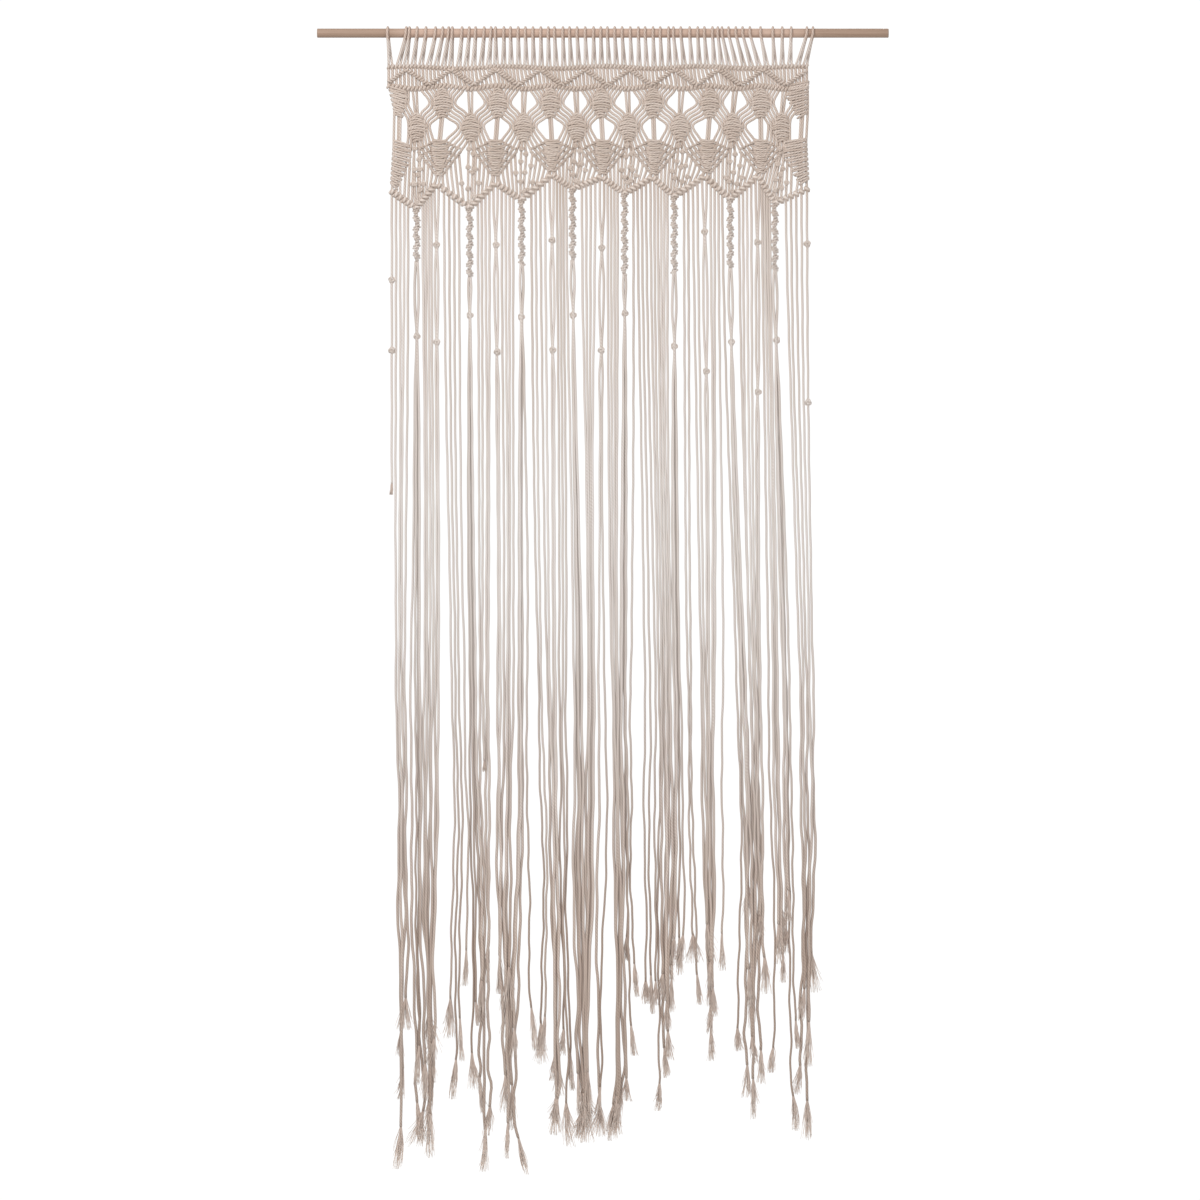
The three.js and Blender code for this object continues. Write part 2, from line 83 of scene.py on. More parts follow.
# %% Tables of seams, repeats and rows
SEAM_TABLE = np.array([
    # first row x, third row x, edge peak x, edge peak z
    (-364, -365, -373, -275),
    (-281, -286, -292, -264),
    (-184, -188, -188, -262),
    (-92, -89, -89, -247),
    (-3, 0, -1, -252),
    (88, 90, 87, -252),
    (187, 183, 178, -250),
    (276, 277, 271, -250),
    (353, 350, 362, -271),
], float)
REPEAT_TABLE = np.array([
    # second row x, edge valley x, edge valley z, sinnet length
    (-326, -326, -307, 94),
    (-231, -233, -306, 122),
    (-139, -142, -292, 113),
    (-45, -53, -273, 126),
    (45, 38, -281, 142),
    (135, 125, -286, 133),
    (227, 223, -291, 121),
    (313, 301, -298, 117),
], float)
first_x, third_x, peak_x, peak_z = SEAM_TABLE.T
second_x, valley_x, valley_z, sinnet_length = REPEAT_TABLE.T

FIRST_ROW = dict(top=-95, wide=-121, bottom=-147, half_top=7, half_wide=19, half_bottom=5, bowed=1)
SECOND_ROW = dict(top=-139, wide=-163, bottom=-189, half_top=7, half_wide=19, half_bottom=5, bowed=1)
THIRD_ROW = dict(top=-187, wide=-211, half_top=9, half_wide=40, half_bottom=4, bowed=0)
print("first row knots stand", np.diff(first_x).round(), "mm apart")

# %% [markdown]
# The two level bars and the zigzag
#
# Each bar is a holding cord that every strand is hitched to. The upper one wanders up and down a little, the
# lower one rises over every first row knot. The zigzag runs between them like a folded ribbon. Each is a
# function that gives the height at a place along the rod, so strands and hitches agree about where it is.

# %% Functions for the bars
BAR_LEFT = -378
BAR_RIGHT = 360
UPPER_Z = -60
UPPER_WAVE = 2
UPPER_WAVE_LENGTH = 170
LOWER_Z = -95
LOWER_WAVE = 2.5
ZIGZAG_VALLEY = -304
ZIGZAG_PITCH = 78
ZIGZAG_HIGH = -64
ZIGZAG_LOW = -91
FULL_TURN = 2 * np.pi

seam_count = np.arange(REPEATS + 1)
lower_seam_x = np.concatenate([[BAR_LEFT], first_x[1:-1], [BAR_RIGHT]])


def upper_bar_x(i):
    """Strands are spread evenly from the left end of the bar to the right."""
    return BAR_LEFT + (BAR_RIGHT - BAR_LEFT) * (i + 0.5) / STRANDS


def upper_bar_z(x):
    """A slow wave along the rod."""
    return UPPER_Z + UPPER_WAVE * np.cos(FULL_TURN * x / UPPER_WAVE_LENGTH)


def lower_bar_x(i):
    """Strands are spread evenly between one seam and the next."""
    return np.interp((i + 0.5) / PER_REPEAT, seam_count, lower_seam_x)


def lower_bar_z(x):
    """A wave with its tops at the seams."""
    return LOWER_Z + LOWER_WAVE * np.cos(FULL_TURN * np.interp(x, lower_seam_x, seam_count))


def zigzag_z(x):
    """Height goes up in proportion to the distance from the nearest valley."""
    steps = (x - ZIGZAG_VALLEY) / ZIGZAG_PITCH
    return ZIGZAG_LOW + (ZIGZAG_HIGH - ZIGZAG_LOW) * 2 * np.abs(steps - np.round(steps))


bars_apart = upper_bar_z(lower_seam_x) - lower_bar_z(lower_seam_x)
print("the bars are", round(float(bars_apart.mean())), "mm apart")

# %% [markdown]
# A tube along a path
#
# A cord could be a Blender curve with a bevel, but hundreds of curves are slow to edit and hard to vary. Here
# a whole family of cords is one array: a circle is carried along every path at once. At each step the circle
# stands square to the path, which takes two directions: one made from a fixed reference, one from both.

# %% Carry a circle along paths
ALONG_ROD = np.array([1.0, 0.0, 0.0])
DEPTH = np.array([0.0, 1.0, 0.0])
UP = np.array([0.0, 0.0, 1.0])


def unit(vectors):
    """Vectors of the same direction and length one."""
    return vectors / np.linalg.norm(vectors, axis=-1, keepdims=True)


def once_round(steps):
    """Angles of equal steps that go once round a circle."""
    return np.linspace(0, FULL_TURN, steps, endpoint=False)


def carry_circle(paths, radius, sides, reference, closed=False):
    """Surface point = path point + radius (cos a across + sin a out).

    Across is the reference direction made square to the path, and out is square to both. The paths are
    counted as cord, step and x, y, z, and the result as cord, step, corner and x, y, z.
    """
    if closed:
        ahead = unit(np.roll(paths, -1, axis=1) - np.roll(paths, 1, axis=1))
    else:
        ahead = unit(np.gradient(paths, axis=1))
    across = unit(reference - ahead * np.sum(ahead * reference, axis=-1, keepdims=True))
    out = np.cross(ahead, across)
    angle = once_round(sides)[:, None]
    circle = np.cos(angle) * across[:, :, None] + np.sin(angle) * out[:, :, None]
    reach = np.broadcast_to(radius, paths.shape[:2])[:, :, None, None]
    return paths[:, :, None] + reach * circle


trial_cord = carry_circle(np.array([[0 * UP, 9 * UP]]), CORD_RADIUS, 6, ALONG_ROD)
print("a short trial cord reaches", np.ptp(trial_cord, axis=(0, 1, 2)).round(1), "mm in x, y and z")

# %% [markdown]
# A smooth path through a few places
#
# A strand is known only where it meets a bar or a knot. Between two such places it bends gently, so the path
# is a cubic curve for each stretch. Its direction at a place is that of the line from the place before to the
# place after, which keeps neighbouring stretches in one smooth flow.

# %% Let a strand flow through its places


def flow(places, per_stretch):
    """Cubic stretches through the places, with directions taken across each place.

    With s running from 0 to 1 and L the stretch's length, the point is the usual cubic blend of the two ends
    and of L times the two directions.
    """
    line = places[:, 1:] - places[:, :-1]
    length = np.linalg.norm(line, axis=-1)[:, :, None, None]
    heading = unit(np.gradient(places, axis=1))[:, :, None]
    s = (np.arange(per_stretch) / per_stretch)[:, None]
    ends = places[:, :, None]
    bent = (
        (2 * s**3 - 3 * s**2 + 1) * ends[:, :-1]
        + (3 * s**2 - 2 * s**3) * ends[:, 1:]
        + (s**3 - 2 * s**2 + s) * length * heading[:, :-1]
        + (s**3 - s**2) * length * heading[:, 1:]
    )
    return np.concatenate([bent.reshape(len(places), -1, 3), places[:, -1:]], axis=1)


trial_bend = flow(np.array([[0 * UP, 10 * ALONG_ROD, 20 * UP]]), 4)
print("a bend through 3 places has", trial_bend.shape[1], "points")

# %% [markdown]
# Faces, and places on the cord
#
# The corners of all tubes are numbered in one go, and each face is four of those numbers. Open tubes get a
# cap at both ends. Every corner of a face also gets its place on the cord, as the share of the way around and
# the turns of the twist so far along, because the finish draws the plies from it.

# %% Number the faces
TWIST_LENGTH = 18


def number_faces(tubes, closed):
    """Corner numbers of the side faces, in fours, and of the caps, in rings."""
    number = np.arange(np.prod(tubes.shape[:3])).reshape(tubes.shape[:3])
    here = number if closed else number[:, :-1]
    ahead = np.roll(number, -1, axis=1) if closed else number[:, 1:]
    faces = np.stack([here, np.roll(here, -1, 2), np.roll(ahead, -1, 2), ahead], axis=-1)
    caps = np.concatenate([number[:, 0, ::-1], number[:, -1]])
    return faces.reshape(-1, 4), caps[:0] if closed else caps


def place_on_cord(tubes, closed):
    """For each corner of each side face: the share of the way around, and the twists so far along."""
    middle = tubes.mean(axis=2)
    if closed:
        middle = np.concatenate([middle, middle[:, :1]], axis=1)
    steps = np.linalg.norm(np.diff(middle, axis=1), axis=-1)
    run = np.concatenate([np.zeros_like(steps[:, :1]), np.cumsum(steps, axis=1)], axis=1) / TWIST_LENGTH
    sides = tubes.shape[2]
    low, high = np.arange(sides) / sides, np.arange(1, sides + 1) / sides
    around = np.stack([low, high, high, low], axis=-1)[None, None]
    along = np.stack([run[:, :-1], run[:, :-1], run[:, 1:], run[:, 1:]], axis=-1)[:, :, None]
    return np.stack(np.broadcast_arrays(around, along), axis=-1).reshape(-1, 2)


trial_faces, trial_caps = number_faces(trial_cord, closed=False)
print("the trial cord has", len(trial_faces), "side faces and", len(trial_caps), "caps")

# %% [markdown]
# From arrays to an object
#
# foreach_set copies whole arrays into a mesh, which is far quicker than adding faces one by one. Every tube
# gets a tone of its own, because cotton cord is never quite one colour. The object then rides on the part,
# says what it is made of and takes the place of a packed node.

# %% Fill a mesh from tubes


def make_piece(name, tubes, finish, node, closed=False, darker=0.0):
    """Makes one object of many tubes, gives it its finish and puts it in place of a packed node."""
    faces, caps = number_faces(tubes, closed)
    corners = np.concatenate([faces.ravel(), caps.ravel()])
    corner_uv = np.concatenate([place_on_cord(tubes, closed), np.zeros((caps.size, 2))])
    cap_starts = faces.size + np.arange(len(caps)) * tubes.shape[2]
    starts = np.concatenate([np.arange(len(faces)) * faces.shape[1], cap_starts])
    tone = np.repeat(chance.random(len(tubes)) + darker, tubes[0].size // 3)
    mesh = bpy.data.meshes.new(name)
    mesh.vertices.add(tubes.size // 3)
    mesh.vertices.foreach_set("co", (tubes * MM).astype(np.float32).ravel())
    mesh.loops.add(len(corners))
    mesh.loops.foreach_set("vertex_index", corners.astype(np.int32))
    mesh.polygons.add(len(starts))
    mesh.polygons.foreach_set("loop_start", starts.astype(np.int32))
    mesh.polygons.foreach_set("use_smooth", np.arange(len(starts)) < len(faces))
    mesh.update(calc_edges=True)
    mesh.uv_layers.new(name="cord").data.foreach_set("uv", corner_uv.astype(np.float32).ravel())
    mesh.attributes.new("tone", "FLOAT", "POINT").data.foreach_set("value", tone.astype(np.float32))
    mesh.materials.append(finish)
    piece = bpy.data.objects.new(name, mesh)
    bpy.context.scene.collection.objects.link(piece)
    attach(piece, "root")
    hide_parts(node)
    triangles = 2 * len(faces) + len(caps) * (tubes.shape[2] - 2)
    print(name, "has", len(tubes), "tubes and", triangles, "triangles")


packed = [node.name for node in bpy.data.objects if node.type == "MESH"]
print("pieces can take the place of", sorted(packed))

# %% [markdown]
# Shader sums as plain expressions
#
# A finish is a net of shader nodes. Wiring a dozen Math nodes by hand hides the idea behind the wires, so one
# small class wraps a node's output: adding or multiplying two of them adds the Math node. Any other node
# comes from one method, which first sets what the node is and then its sockets. The nodes that every finish
# needs, such as noise and bumps, have short names of their own.

# %% Wrap a shader output


class Wire:
    """One output of a shader node. Sums on it add Math nodes to the same tree."""

    def __init__(self, tree, output=None):
        self.tree = tree
        self.output = output

    def node(self, kind, settings, sockets, output=0):
        """Adds a node, sets its settings, then gives its sockets their values or links."""
        made = self.tree.nodes.new(kind)
        for name, value in settings.items():
            setattr(made, name, value)
        for name, value in sockets.items():
            if isinstance(value, Wire):
                self.tree.links.new(value.output, made.inputs[name])
            else:
                made.inputs[name].default_value = value
        return Wire(self.tree, made.outputs[output] if made.outputs else None)

    def sum_of(self, operation, *values):
        """One Math node with its values in order."""
        return self.node("ShaderNodeMath", {"operation": operation}, dict(enumerate(values)))

    def __add__(self, other):
        return self.sum_of("ADD", self, other)

    def __sub__(self, other):
        return self.sum_of("SUBTRACT", self, other)

    def __rsub__(self, other):
        return self.sum_of("SUBTRACT", other, self)

    def __mul__(self, other):
        return self.sum_of("MULTIPLY", self, other)

    __radd__ = __add__
    __rmul__ = __mul__

    def fraction(self):
        """What is left of a number above the last whole one."""
        return self.sum_of("FRACT", self)

    def axis(self, number):
        """One part of a place: 0, 1 or 2 for x, y or z."""
        return self.node("ShaderNodeSeparateXYZ", {}, {0: self}, number)

    def length(self):
        """The distance of a place from the origin."""
        return self.node("ShaderNodeVectorMath", {"operation": "LENGTH"}, {0: self}, 1)

    def noise(self, scale, detail=2.0):
        """Random clouds at a place."""
        return self.node("ShaderNodeTexNoise", {}, {"Vector": self, "Scale": scale, "Detail": detail})

    def rise(self, low, high, limit=1.0, shape="SMOOTHSTEP"):
        """A share that grows from nothing where the value is low to its limit where it is high."""
        ends = {"Value": self, "From Min": low, "From Max": high, "To Max": limit}
        return self.node("ShaderNodeMapRange", {"interpolation_type": shape}, ends)

    def mix(self, low, high):
        """A colour between two others, with this value as the share of the second."""
        return self.node("ShaderNodeMix", {"data_type": "RGBA"}, {0: self, 6: low, 7: high}, 2)

    def relief(self, strength, depth):
        """Bumps with this value as their height, so deep in metres."""
        return self.node("ShaderNodeBump", {}, {"Strength": strength, "Distance": depth, "Height": self})


print("a wire knows", ", ".join(name for name in vars(Wire) if not name.startswith("_")))

# %% [markdown]
# Starting and closing a finish
#
# Every finish starts as an empty tree with the place on the object, and ends in one Principled shader. What
# differs is what goes into its sockets. Colours are written as they are picked on a screen.

# %% Start and close a finish


def start_finish(name):
    """A new material with an empty tree, a wire to build it with, and the wire of the place on the object."""
    finish = bpy.data.materials.new(name)
    finish.use_nodes = True
    finish.node_tree.nodes.clear()
    wire = Wire(finish.node_tree)
    return finish, wire, wire.node("ShaderNodeTexCoord", {}, {}, "Object")


def close_finish(finish, wire, sockets):
    """Feeds the shader and the output."""
    surface = wire.node("ShaderNodeBsdfPrincipled", {}, sockets)
    wire.node("ShaderNodeOutputMaterial", {}, {"Surface": surface})
    print(finish.name, "has", len(finish.node_tree.nodes), "nodes")


def paint(red, green, blue):
    """A colour as picked on a screen, from 0 to 255, turned into the linear values that shaders use."""
    screen = np.array([red, green, blue]) / 255
    linear = np.where(screen <= 0.04045, screen / 12.92, ((screen + 0.055) / 1.055) ** 2.4)
    return (*linear.tolist(), 1.0)


print("a screen's middle grey is", round(paint(128, 128, 128)[0], 2), "in a shader")

# %% [markdown]
# Twisted cotton
#
# The cord is three plies of soft cotton turned round each other. Modelling the plies on 250 m of cord would
# take millions of faces, so they are drawn from the place on the cord: around plus along, times three, counts
# the plies, and its fraction runs across one of them. A ply is high in the middle, and its crease is painted
# dark as painted shade. Fine noise stands for fibres, broad noise and the tone of each cord for uneven
# bleaching. Three pairs of colours are mixed by the height as painted light and shade: the knotted part is
# warmer and darker than the loops and the hanging strands as painted shade of its dense knots, the loops and
# strands are paler as painted light, and the lower halves of the strands are painted darker again as light
# falling off towards the bottom. They end in a greyer tone.

# %% Finish for the cord
PLIES = 3
# share of the painted shade in the creases between plies
PAINTED_CREASE_SHADE_SHARE = 0.65
OWN_TONE = 0.6
# the lighter and the darker colour of each pair
# painted shade: the darker pair of the knotted panel, for the shade of its dense knots
PAINTED_PANEL_SHADE = (paint(230, 217, 207), paint(205, 188, 175))
# painted light: the pale pair of the loops and the hanging strands
PALE = (paint(253, 249, 246), paint(235, 229, 224))
# painted shade: the darker pair of the lower fringe, for light falling off towards the bottom
PAINTED_LOWER_SHADE = (paint(232, 216, 204), paint(176, 155, 141))
GREYER = paint(152, 138, 130)
ROD_SHADE = paint(208, 184, 169)
# painted shade: the colour of the creases between plies
PAINTED_CREASE_SHADE = paint(152, 125, 108)
# the height in metres where a change of colour starts, the height where it is full, and its share there
# painted light on the loops and the upper and middle fringe
PAINTED_LIGHT_LOOPS = (-0.064, -0.046, 0.4)
PAINTED_LIGHT_FRINGE = (-0.2, -0.4, 0.54)
PAINTED_LIGHT_MID_FRINGE = (-0.5, -0.85, 0.34)
# painted shade on the lower fringe
PAINTED_SHADE_LOWER_HALF = (-0.88, -1.75, 1.0)
GREYER_ENDS = (-1.58, -1.76, 0.28)
SHADE_ON_ROD = (-0.016, -0.006, 0.8)

cotton, wire, spot = start_finish("twisted_cotton")
on_cord = wire.node("ShaderNodeUVMap", {"uv_map": "cord"}, {})
across_ply = ((on_cord.axis(0) + on_cord.axis(1)) * PLIES).fraction()
off_middle = across_ply * 2 - 1
ply = 1 - off_middle * off_middle
fibres = spot.noise(scale=700.0, detail=4.0)
patches = spot.noise(scale=9.0)
tone = wire.node("ShaderNodeAttribute", {"attribute_name": "tone"}, {}, 2)
unevenness = tone * OWN_TONE + patches * (1 - OWN_TONE)

height = spot.axis(2)
# painted light: the loops and the upper fringe are painted paler than the knotted panel
painted_light_share = height.rise(*PAINTED_LIGHT_LOOPS) + height.rise(*PAINTED_LIGHT_FRINGE) + height.rise(*PAINTED_LIGHT_MID_FRINGE)
cord_colour = painted_light_share.mix(unevenness.mix(*PAINTED_PANEL_SHADE), unevenness.mix(*PALE))
# painted shade: the fringe is painted darker towards the bottom
cord_colour = height.rise(*PAINTED_SHADE_LOWER_HALF).mix(cord_colour, unevenness.mix(*PAINTED_LOWER_SHADE))
cord_colour = height.rise(*GREYER_ENDS).mix(cord_colour, GREYER)
cord_colour = height.rise(*SHADE_ON_ROD).mix(cord_colour, ROD_SHADE)
close_finish(cotton, wire, {
    # painted shade: the crease between plies is painted darker
    "Base Color": ((1 - ply) * PAINTED_CREASE_SHADE_SHARE).mix(cord_colour, PAINTED_CREASE_SHADE),
    "Roughness": 0.75 + fibres * 0.2,
    "Normal": (ply + fibres * 0.4).relief(strength=0.8, depth=0.0006),
    "Specular IOR Level": 0.2,
    "Sheen Weight": 0.2,
    "Sheen Roughness": 0.5,
})

# %% [markdown]
# Loose cotton at the frayed ends
#
# Where a cord comes apart the twist is gone and only its fibres are left, softer than the cord. A yarn starts
# in the cord's tone and gets paler towards its tip, so two pairs of colours are mixed by the place along the
# yarn. Streaks of noise and each yarn's own tone choose within a pair.

# %% Finish for the frayed ends
TWISTS_TO_TIP = 3.2
AT_CORD = (paint(219, 199, 187), paint(189, 168, 155))
AT_TIP = (paint(248, 236, 227), paint(232, 214, 201))

loose_cotton, wire, spot = start_finish("loose_cotton")
fibres = spot.noise(scale=900.0, detail=3.0)
tone = wire.node("ShaderNodeAttribute", {"attribute_name": "tone"}, {}, 2)
from_cord = wire.node("ShaderNodeUVMap", {"uv_map": "cord"}, {}).axis(1)
near_tip = from_cord.rise(0.0, TWISTS_TO_TIP, shape="LINEAR")
streaks = tone * OWN_TONE + fibres * (1 - OWN_TONE)
close_finish(loose_cotton, wire, {
    "Base Color": near_tip.mix(streaks.mix(*AT_CORD), streaks.mix(*AT_TIP)),
    "Roughness": 0.8 + fibres * 0.15,
    "Normal": fibres.relief(strength=0.5, depth=0.0003),
    "Specular IOR Level": 0.15,
    "Sheen Weight": 0.3,
    "Sheen Roughness": 0.5,
})

# %% [markdown]
# Sanded wood
#
# A dowel is cut along the grain, so growth rings show as long streaks on its side and as arcs on its ends.
# Both come from one idea: the distance from the tree's heart, a line that runs beside the rod. Its fraction
# gives the rings, noise bends them, and a noise drawn out along the rod adds pores. The wood between the
# loops is painted paler than the bare ends, as painted light that offsets the shade the loops cast on the
# rod.

# %% Finish for the rod
TREE_HEART = (0.0, 0.021, 0.034)
ALONG_GRAIN = (0.02, 1.0, 1.0)
PORE_GRAIN = (14.0, 900.0, 900.0)
RINGS_A_METRE = 420
RING_WANDER = 3
LATE_SHARE = 0.7
PORE_SHARE = 0.8
PORE = paint(122, 92, 76)
# early and late wood of a ring
BARE_END_RINGS = (paint(180, 155, 136), paint(146, 115, 97))
# painted light: the rings of the middle are painted paler than those of the bare ends
PAINTED_LIGHT_RINGS = (paint(216, 188, 170), paint(186, 156, 138))
# how far from the middle the bare end and the painted paler middle begin, in metres
PAINTED_LIGHT_REACH = (0.39, 0.31)

sanded_wood, wire, spot = start_finish("sanded_wood")
grain = {"Vector": spot, "Location": TREE_HEART, "Scale": ALONG_GRAIN}
from_heart = wire.node("ShaderNodeMapping", {}, grain)
wander = from_heart.noise(scale=90.0, detail=3.0)
ring = (from_heart.length() * RINGS_A_METRE + wander * RING_WANDER).fraction()
late_wood = ring * ring * LATE_SHARE
drawn_out = wire.node("ShaderNodeMapping", {}, {"Vector": spot, "Scale": PORE_GRAIN})
pores = drawn_out.noise(scale=1.0, detail=5.0)
# painted light: the rod is painted paler towards the middle, where the loops cast their shade
painted_light_middle = wire.sum_of("ABSOLUTE", spot.axis(0)).rise(*PAINTED_LIGHT_REACH)
ring_colour = painted_light_middle.mix(late_wood.mix(*BARE_END_RINGS), late_wood.mix(*PAINTED_LIGHT_RINGS))
close_finish(sanded_wood, wire, {
    "Base Color": (pores * pores * PORE_SHARE).mix(ring_colour, PORE),
    "Roughness": 0.45 + pores * 0.25,
    "Normal": (pores - ring * 0.4).relief(strength=0.35, depth=0.0003),
    "Specular IOR Level": 0.35,
})

# %% [markdown]
# The rod
#
# A plain round dowel, one metre long and 16 mm thick. It is a circle carried along the X axis like a cord,
# only with more corners. Its ends are cut square and lightly broken with sandpaper, so the last stations
# have a smaller radius.

# %% Build the rod
ROD_LENGTH = 1000
ROD_RADIUS = 8
ROD_SIDES = 40
INNER_STATIONS = 41
BROKEN_EDGE = np.array([
    # distance from the end, how much thinner the rod is there
    (0, 0.9),
    (0.4, 0.3),
    (1.2, 0),
])

half_rod = ROD_LENGTH / 2
from_end, thinner = BROKEN_EDGE.T
left_end = from_end - half_rod
inner_stations = np.linspace(left_end[-1], -left_end[-1], INNER_STATIONS)
stations = np.concatenate([left_end[:-1], inner_stations, -left_end[-2::-1]])
rod_radius = ROD_RADIUS - np.interp(half_rod - np.abs(stations), from_end, thinner)
rod_path = (stations[:, None] * ALONG_ROD)[None]
make_piece("rod_turned", carry_circle(rod_path, rod_radius, ROD_SIDES, UP), sanded_wood, "rod")

# %% [markdown]
# Where the loops hang
#
# Every two strands are one long cord, folded in half and hung over the rod. The loops have slid along it, so
# a short table says how far they lean to the left or right of where their legs enter the upper bar, and a
# little chance is added.

# %% Place the loops
LEAN_TABLE = np.array([
    # place on the upper bar, sideways shift on the rod
    (-372, -6),
    (-358, 14),
    (-345, 8),
    (-332, 6),
    (-305, 12),
    (-292, 12),
    (-266, 4),
    (-205, 5),
    (-180, 0),
    (205, -4),
    (219, -11),
    (257, -18),
    (284, -15),
    (297, -3),
    (325, 2),
    (340, 17),
    (356, 15),
], float)
LEAN_CHANCE = 1.3

front_leg = strand[0::2]
front_x, back_x = upper_bar_x(front_leg), upper_bar_x(front_leg + 1)
front_z, back_z = upper_bar_z(front_x), upper_bar_z(back_x)
loop_middle = (front_x + back_x) / 2
loop_x = loop_middle + np.interp(loop_middle, *LEAN_TABLE.T)
loop_x = loop_x + chance.normal(0, LEAN_CHANCE, len(front_leg))
print(len(loop_x), "loops hang between", round(loop_x.min()), "and", round(loop_x.max()), "mm")

# %% [markdown]
# Loops over the rod
#
# A leg runs straight up from the upper bar until it touches the rod, follows its round for a little more than
# half a turn, and comes straight down behind. The touching point comes from a right triangle with the cord's
# distance from the rod's middle as its short side.

# %% Build the loops
LOOP_RADIUS = 2.2
LOOP_SPREAD = 0.8
LOOP_SIDES = 8
ROUND_STEPS = 19
LEG_STEPS = 9
CLOSE_EARLY = 1.6
ROUND_ROD = ROD_RADIUS + LOOP_RADIUS


def blend(a, b, share):
    """A value between two others: the first plus a share of the difference."""
    return a + (b - a) * share


def rod_round(angle):
    """Points round the rod, with the angle counted from straight down and first towards the viewer."""
    x = loop_x[:, None] + LOOP_SPREAD * np.linspace(-1, 1, angle.shape[1])
    return np.stack([x, -ROUND_ROD * np.sin(angle), -ROUND_ROD * np.cos(angle)], axis=-1)


def cord_piece(name, paths, radius, reference, node, sides=6, closed=False, darker=0.0):
    """One piece of cotton cord along all the paths."""
    tubes = carry_circle(paths, radius, sides, reference, closed)
    make_piece(name, tubes, cotton, node, closed, darker)


touch_front = np.arccos(ROUND_ROD / -front_z)
touch_back = FULL_TURN - np.arccos(ROUND_ROD / -back_z)
over = rod_round(np.linspace(touch_front, touch_back, ROUND_STEPS, axis=1))
way_up = np.linspace(0, 1, LEG_STEPS)[None]
leg_middle = blend(loop_middle[:, None], loop_x[:, None], way_up)
leg_half = blend((back_x - front_x)[:, None] / 2, LOOP_SPREAD, 1 - (1 - way_up) ** CLOSE_EARLY)


def leg(sign, bar_z, touch):
    """From the bar up to the rod: depth and height run straight, and the two legs close up early."""
    leg_x = leg_middle + sign * leg_half
    leg_y = touch[:, 1:2] * way_up
    leg_z = blend(bar_z[:, None], touch[:, 2:3], way_up)
    return np.stack([leg_x, leg_y, leg_z], axis=-1)


leg_front = leg(-1, front_z, over[:, 0])
leg_back = leg(1, back_z, over[:, -1])[:, ::-1]
loops = np.concatenate([leg_front[:, :-1], over, leg_back[:, 1:]], axis=1)
cord_piece("heading_loops", loops, LOOP_RADIUS, ALONG_ROD, "knotted_panel", sides=LOOP_SIDES)

# %% [markdown]
# Hitches on the bars
#
# A double half hitch is two turns of a strand round the holding cord, pulled tight side by side. Seen from
# the front each turn is a slanting ridge, and a row of them looks like rope. A turn is a closed ring: an
# ellipse round the bar, leaning along the bar on its way up. On a zigzag the lean is mirrored from limb to
# limb. The same function makes every hitched bar, level or slanting, once it knows the places of the turns
# and how high, how deep and how thick they are.

# %% Wind hitches
RING_STEPS = 12
RING_SIDES = 5
WAVER = (0.9, 1.1)
ZIGZAG_STEP = 4.4
ZIGZAG_FORWARD = -3.4
ZIGZAG_LEFT = BAR_LEFT + 5
ZIGZAG_RIGHT = BAR_RIGHT - 4


def in_plane(x, z, y=0.0):
    """Points of the curtain, all at one depth."""
    return np.stack([x, y + 0 * x, z + 0 * x], axis=-1)


def hitched_bar(name, turns, node, high, deep, lean, cord, direction=None, mirrored=False):
    """Ring point = middle of the turn + high cos a upward + deep sin a backward + lean cos a along the bar.

    The bar runs from turn to turn unless its direction is given, and upward is square to it in the plane of
    the curtain. Sizes waver by a tenth. A mirrored lean turns round where the bar climbs to the right.
    """
    if direction is None:
        direction = np.gradient(turns, axis=0)
    climbs = direction[:, 0] * direction[:, 2] > 0
    leans = np.where(climbs & mirrored, -lean, lean)[:, None, None]
    angle = once_round(RING_STEPS)[None, :, None]
    waver = chance.uniform(*WAVER, (len(turns), 1, 1))
    bar = unit(direction)[:, None]
    slant = high * np.cross(bar, DEPTH) + leans * bar
    rings = turns[:, None] + waver * np.cos(angle) * slant + deep * np.sin(angle) * DEPTH
    cord_piece(name, rings, cord, bar, node, RING_SIDES, closed=True)


upper_x, lower_x = upper_bar_x(strand), lower_bar_x(strand)
zigzag_x = np.arange(ZIGZAG_LEFT, ZIGZAG_RIGHT, ZIGZAG_STEP)
upper_turns = in_plane(upper_x, upper_bar_z(upper_x))
lower_turns = in_plane(lower_x, lower_bar_z(lower_x))
zigzag_turns = in_plane(zigzag_x, zigzag_z(zigzag_x), ZIGZAG_FORWARD)
zigzag_size = dict(high=2.5, deep=2.3, lean=1.8, cord=2.2)
hitched_bar("upper_bar", upper_turns, "knotted_panel", high=2.7, deep=2.6, lean=2.2, cord=2.3)
hitched_bar("lower_bar", lower_turns, "knotted_panel", high=3.1, deep=2.8, lean=2.4, cord=2.4)
hitched_bar("zigzag_bar", zigzag_turns, "knotted_panel", **zigzag_size, mirrored=True)

# %% [markdown]
# Holding cords
#
# Inside each row of hitches runs the cord that they are tied on. It shows between the turns and closes the
# gaps there. Its path is that of the middles of the turns.

# %% Lay the holding cords
cores = {"upper_core": upper_turns, "lower_core": lower_turns, "zigzag_core": zigzag_turns}
for core_name, core_path in cores.items():
    cord_piece(core_name, core_path[None], CORD_RADIUS, DEPTH, "knotted_panel")

# %% [markdown]
# The zigzag bottom edge
#
# Along the bottom every strand is hitched once more, on a holding cord that climbs to a peak at each seam and
# drops to a valley in the middle of each repeat. Seven strands share each limb, so the hitches stand further
# apart than on the level bars. Each is as thick as its share of the limb, and they look like a row of beads.

# %% Build the bottom edge
CLOSER_BELOW = 1.12
SMALL_STEP = 0.1
BEAD_STEP = 0.4
BEAD_RADII = (2.7, 4.2)


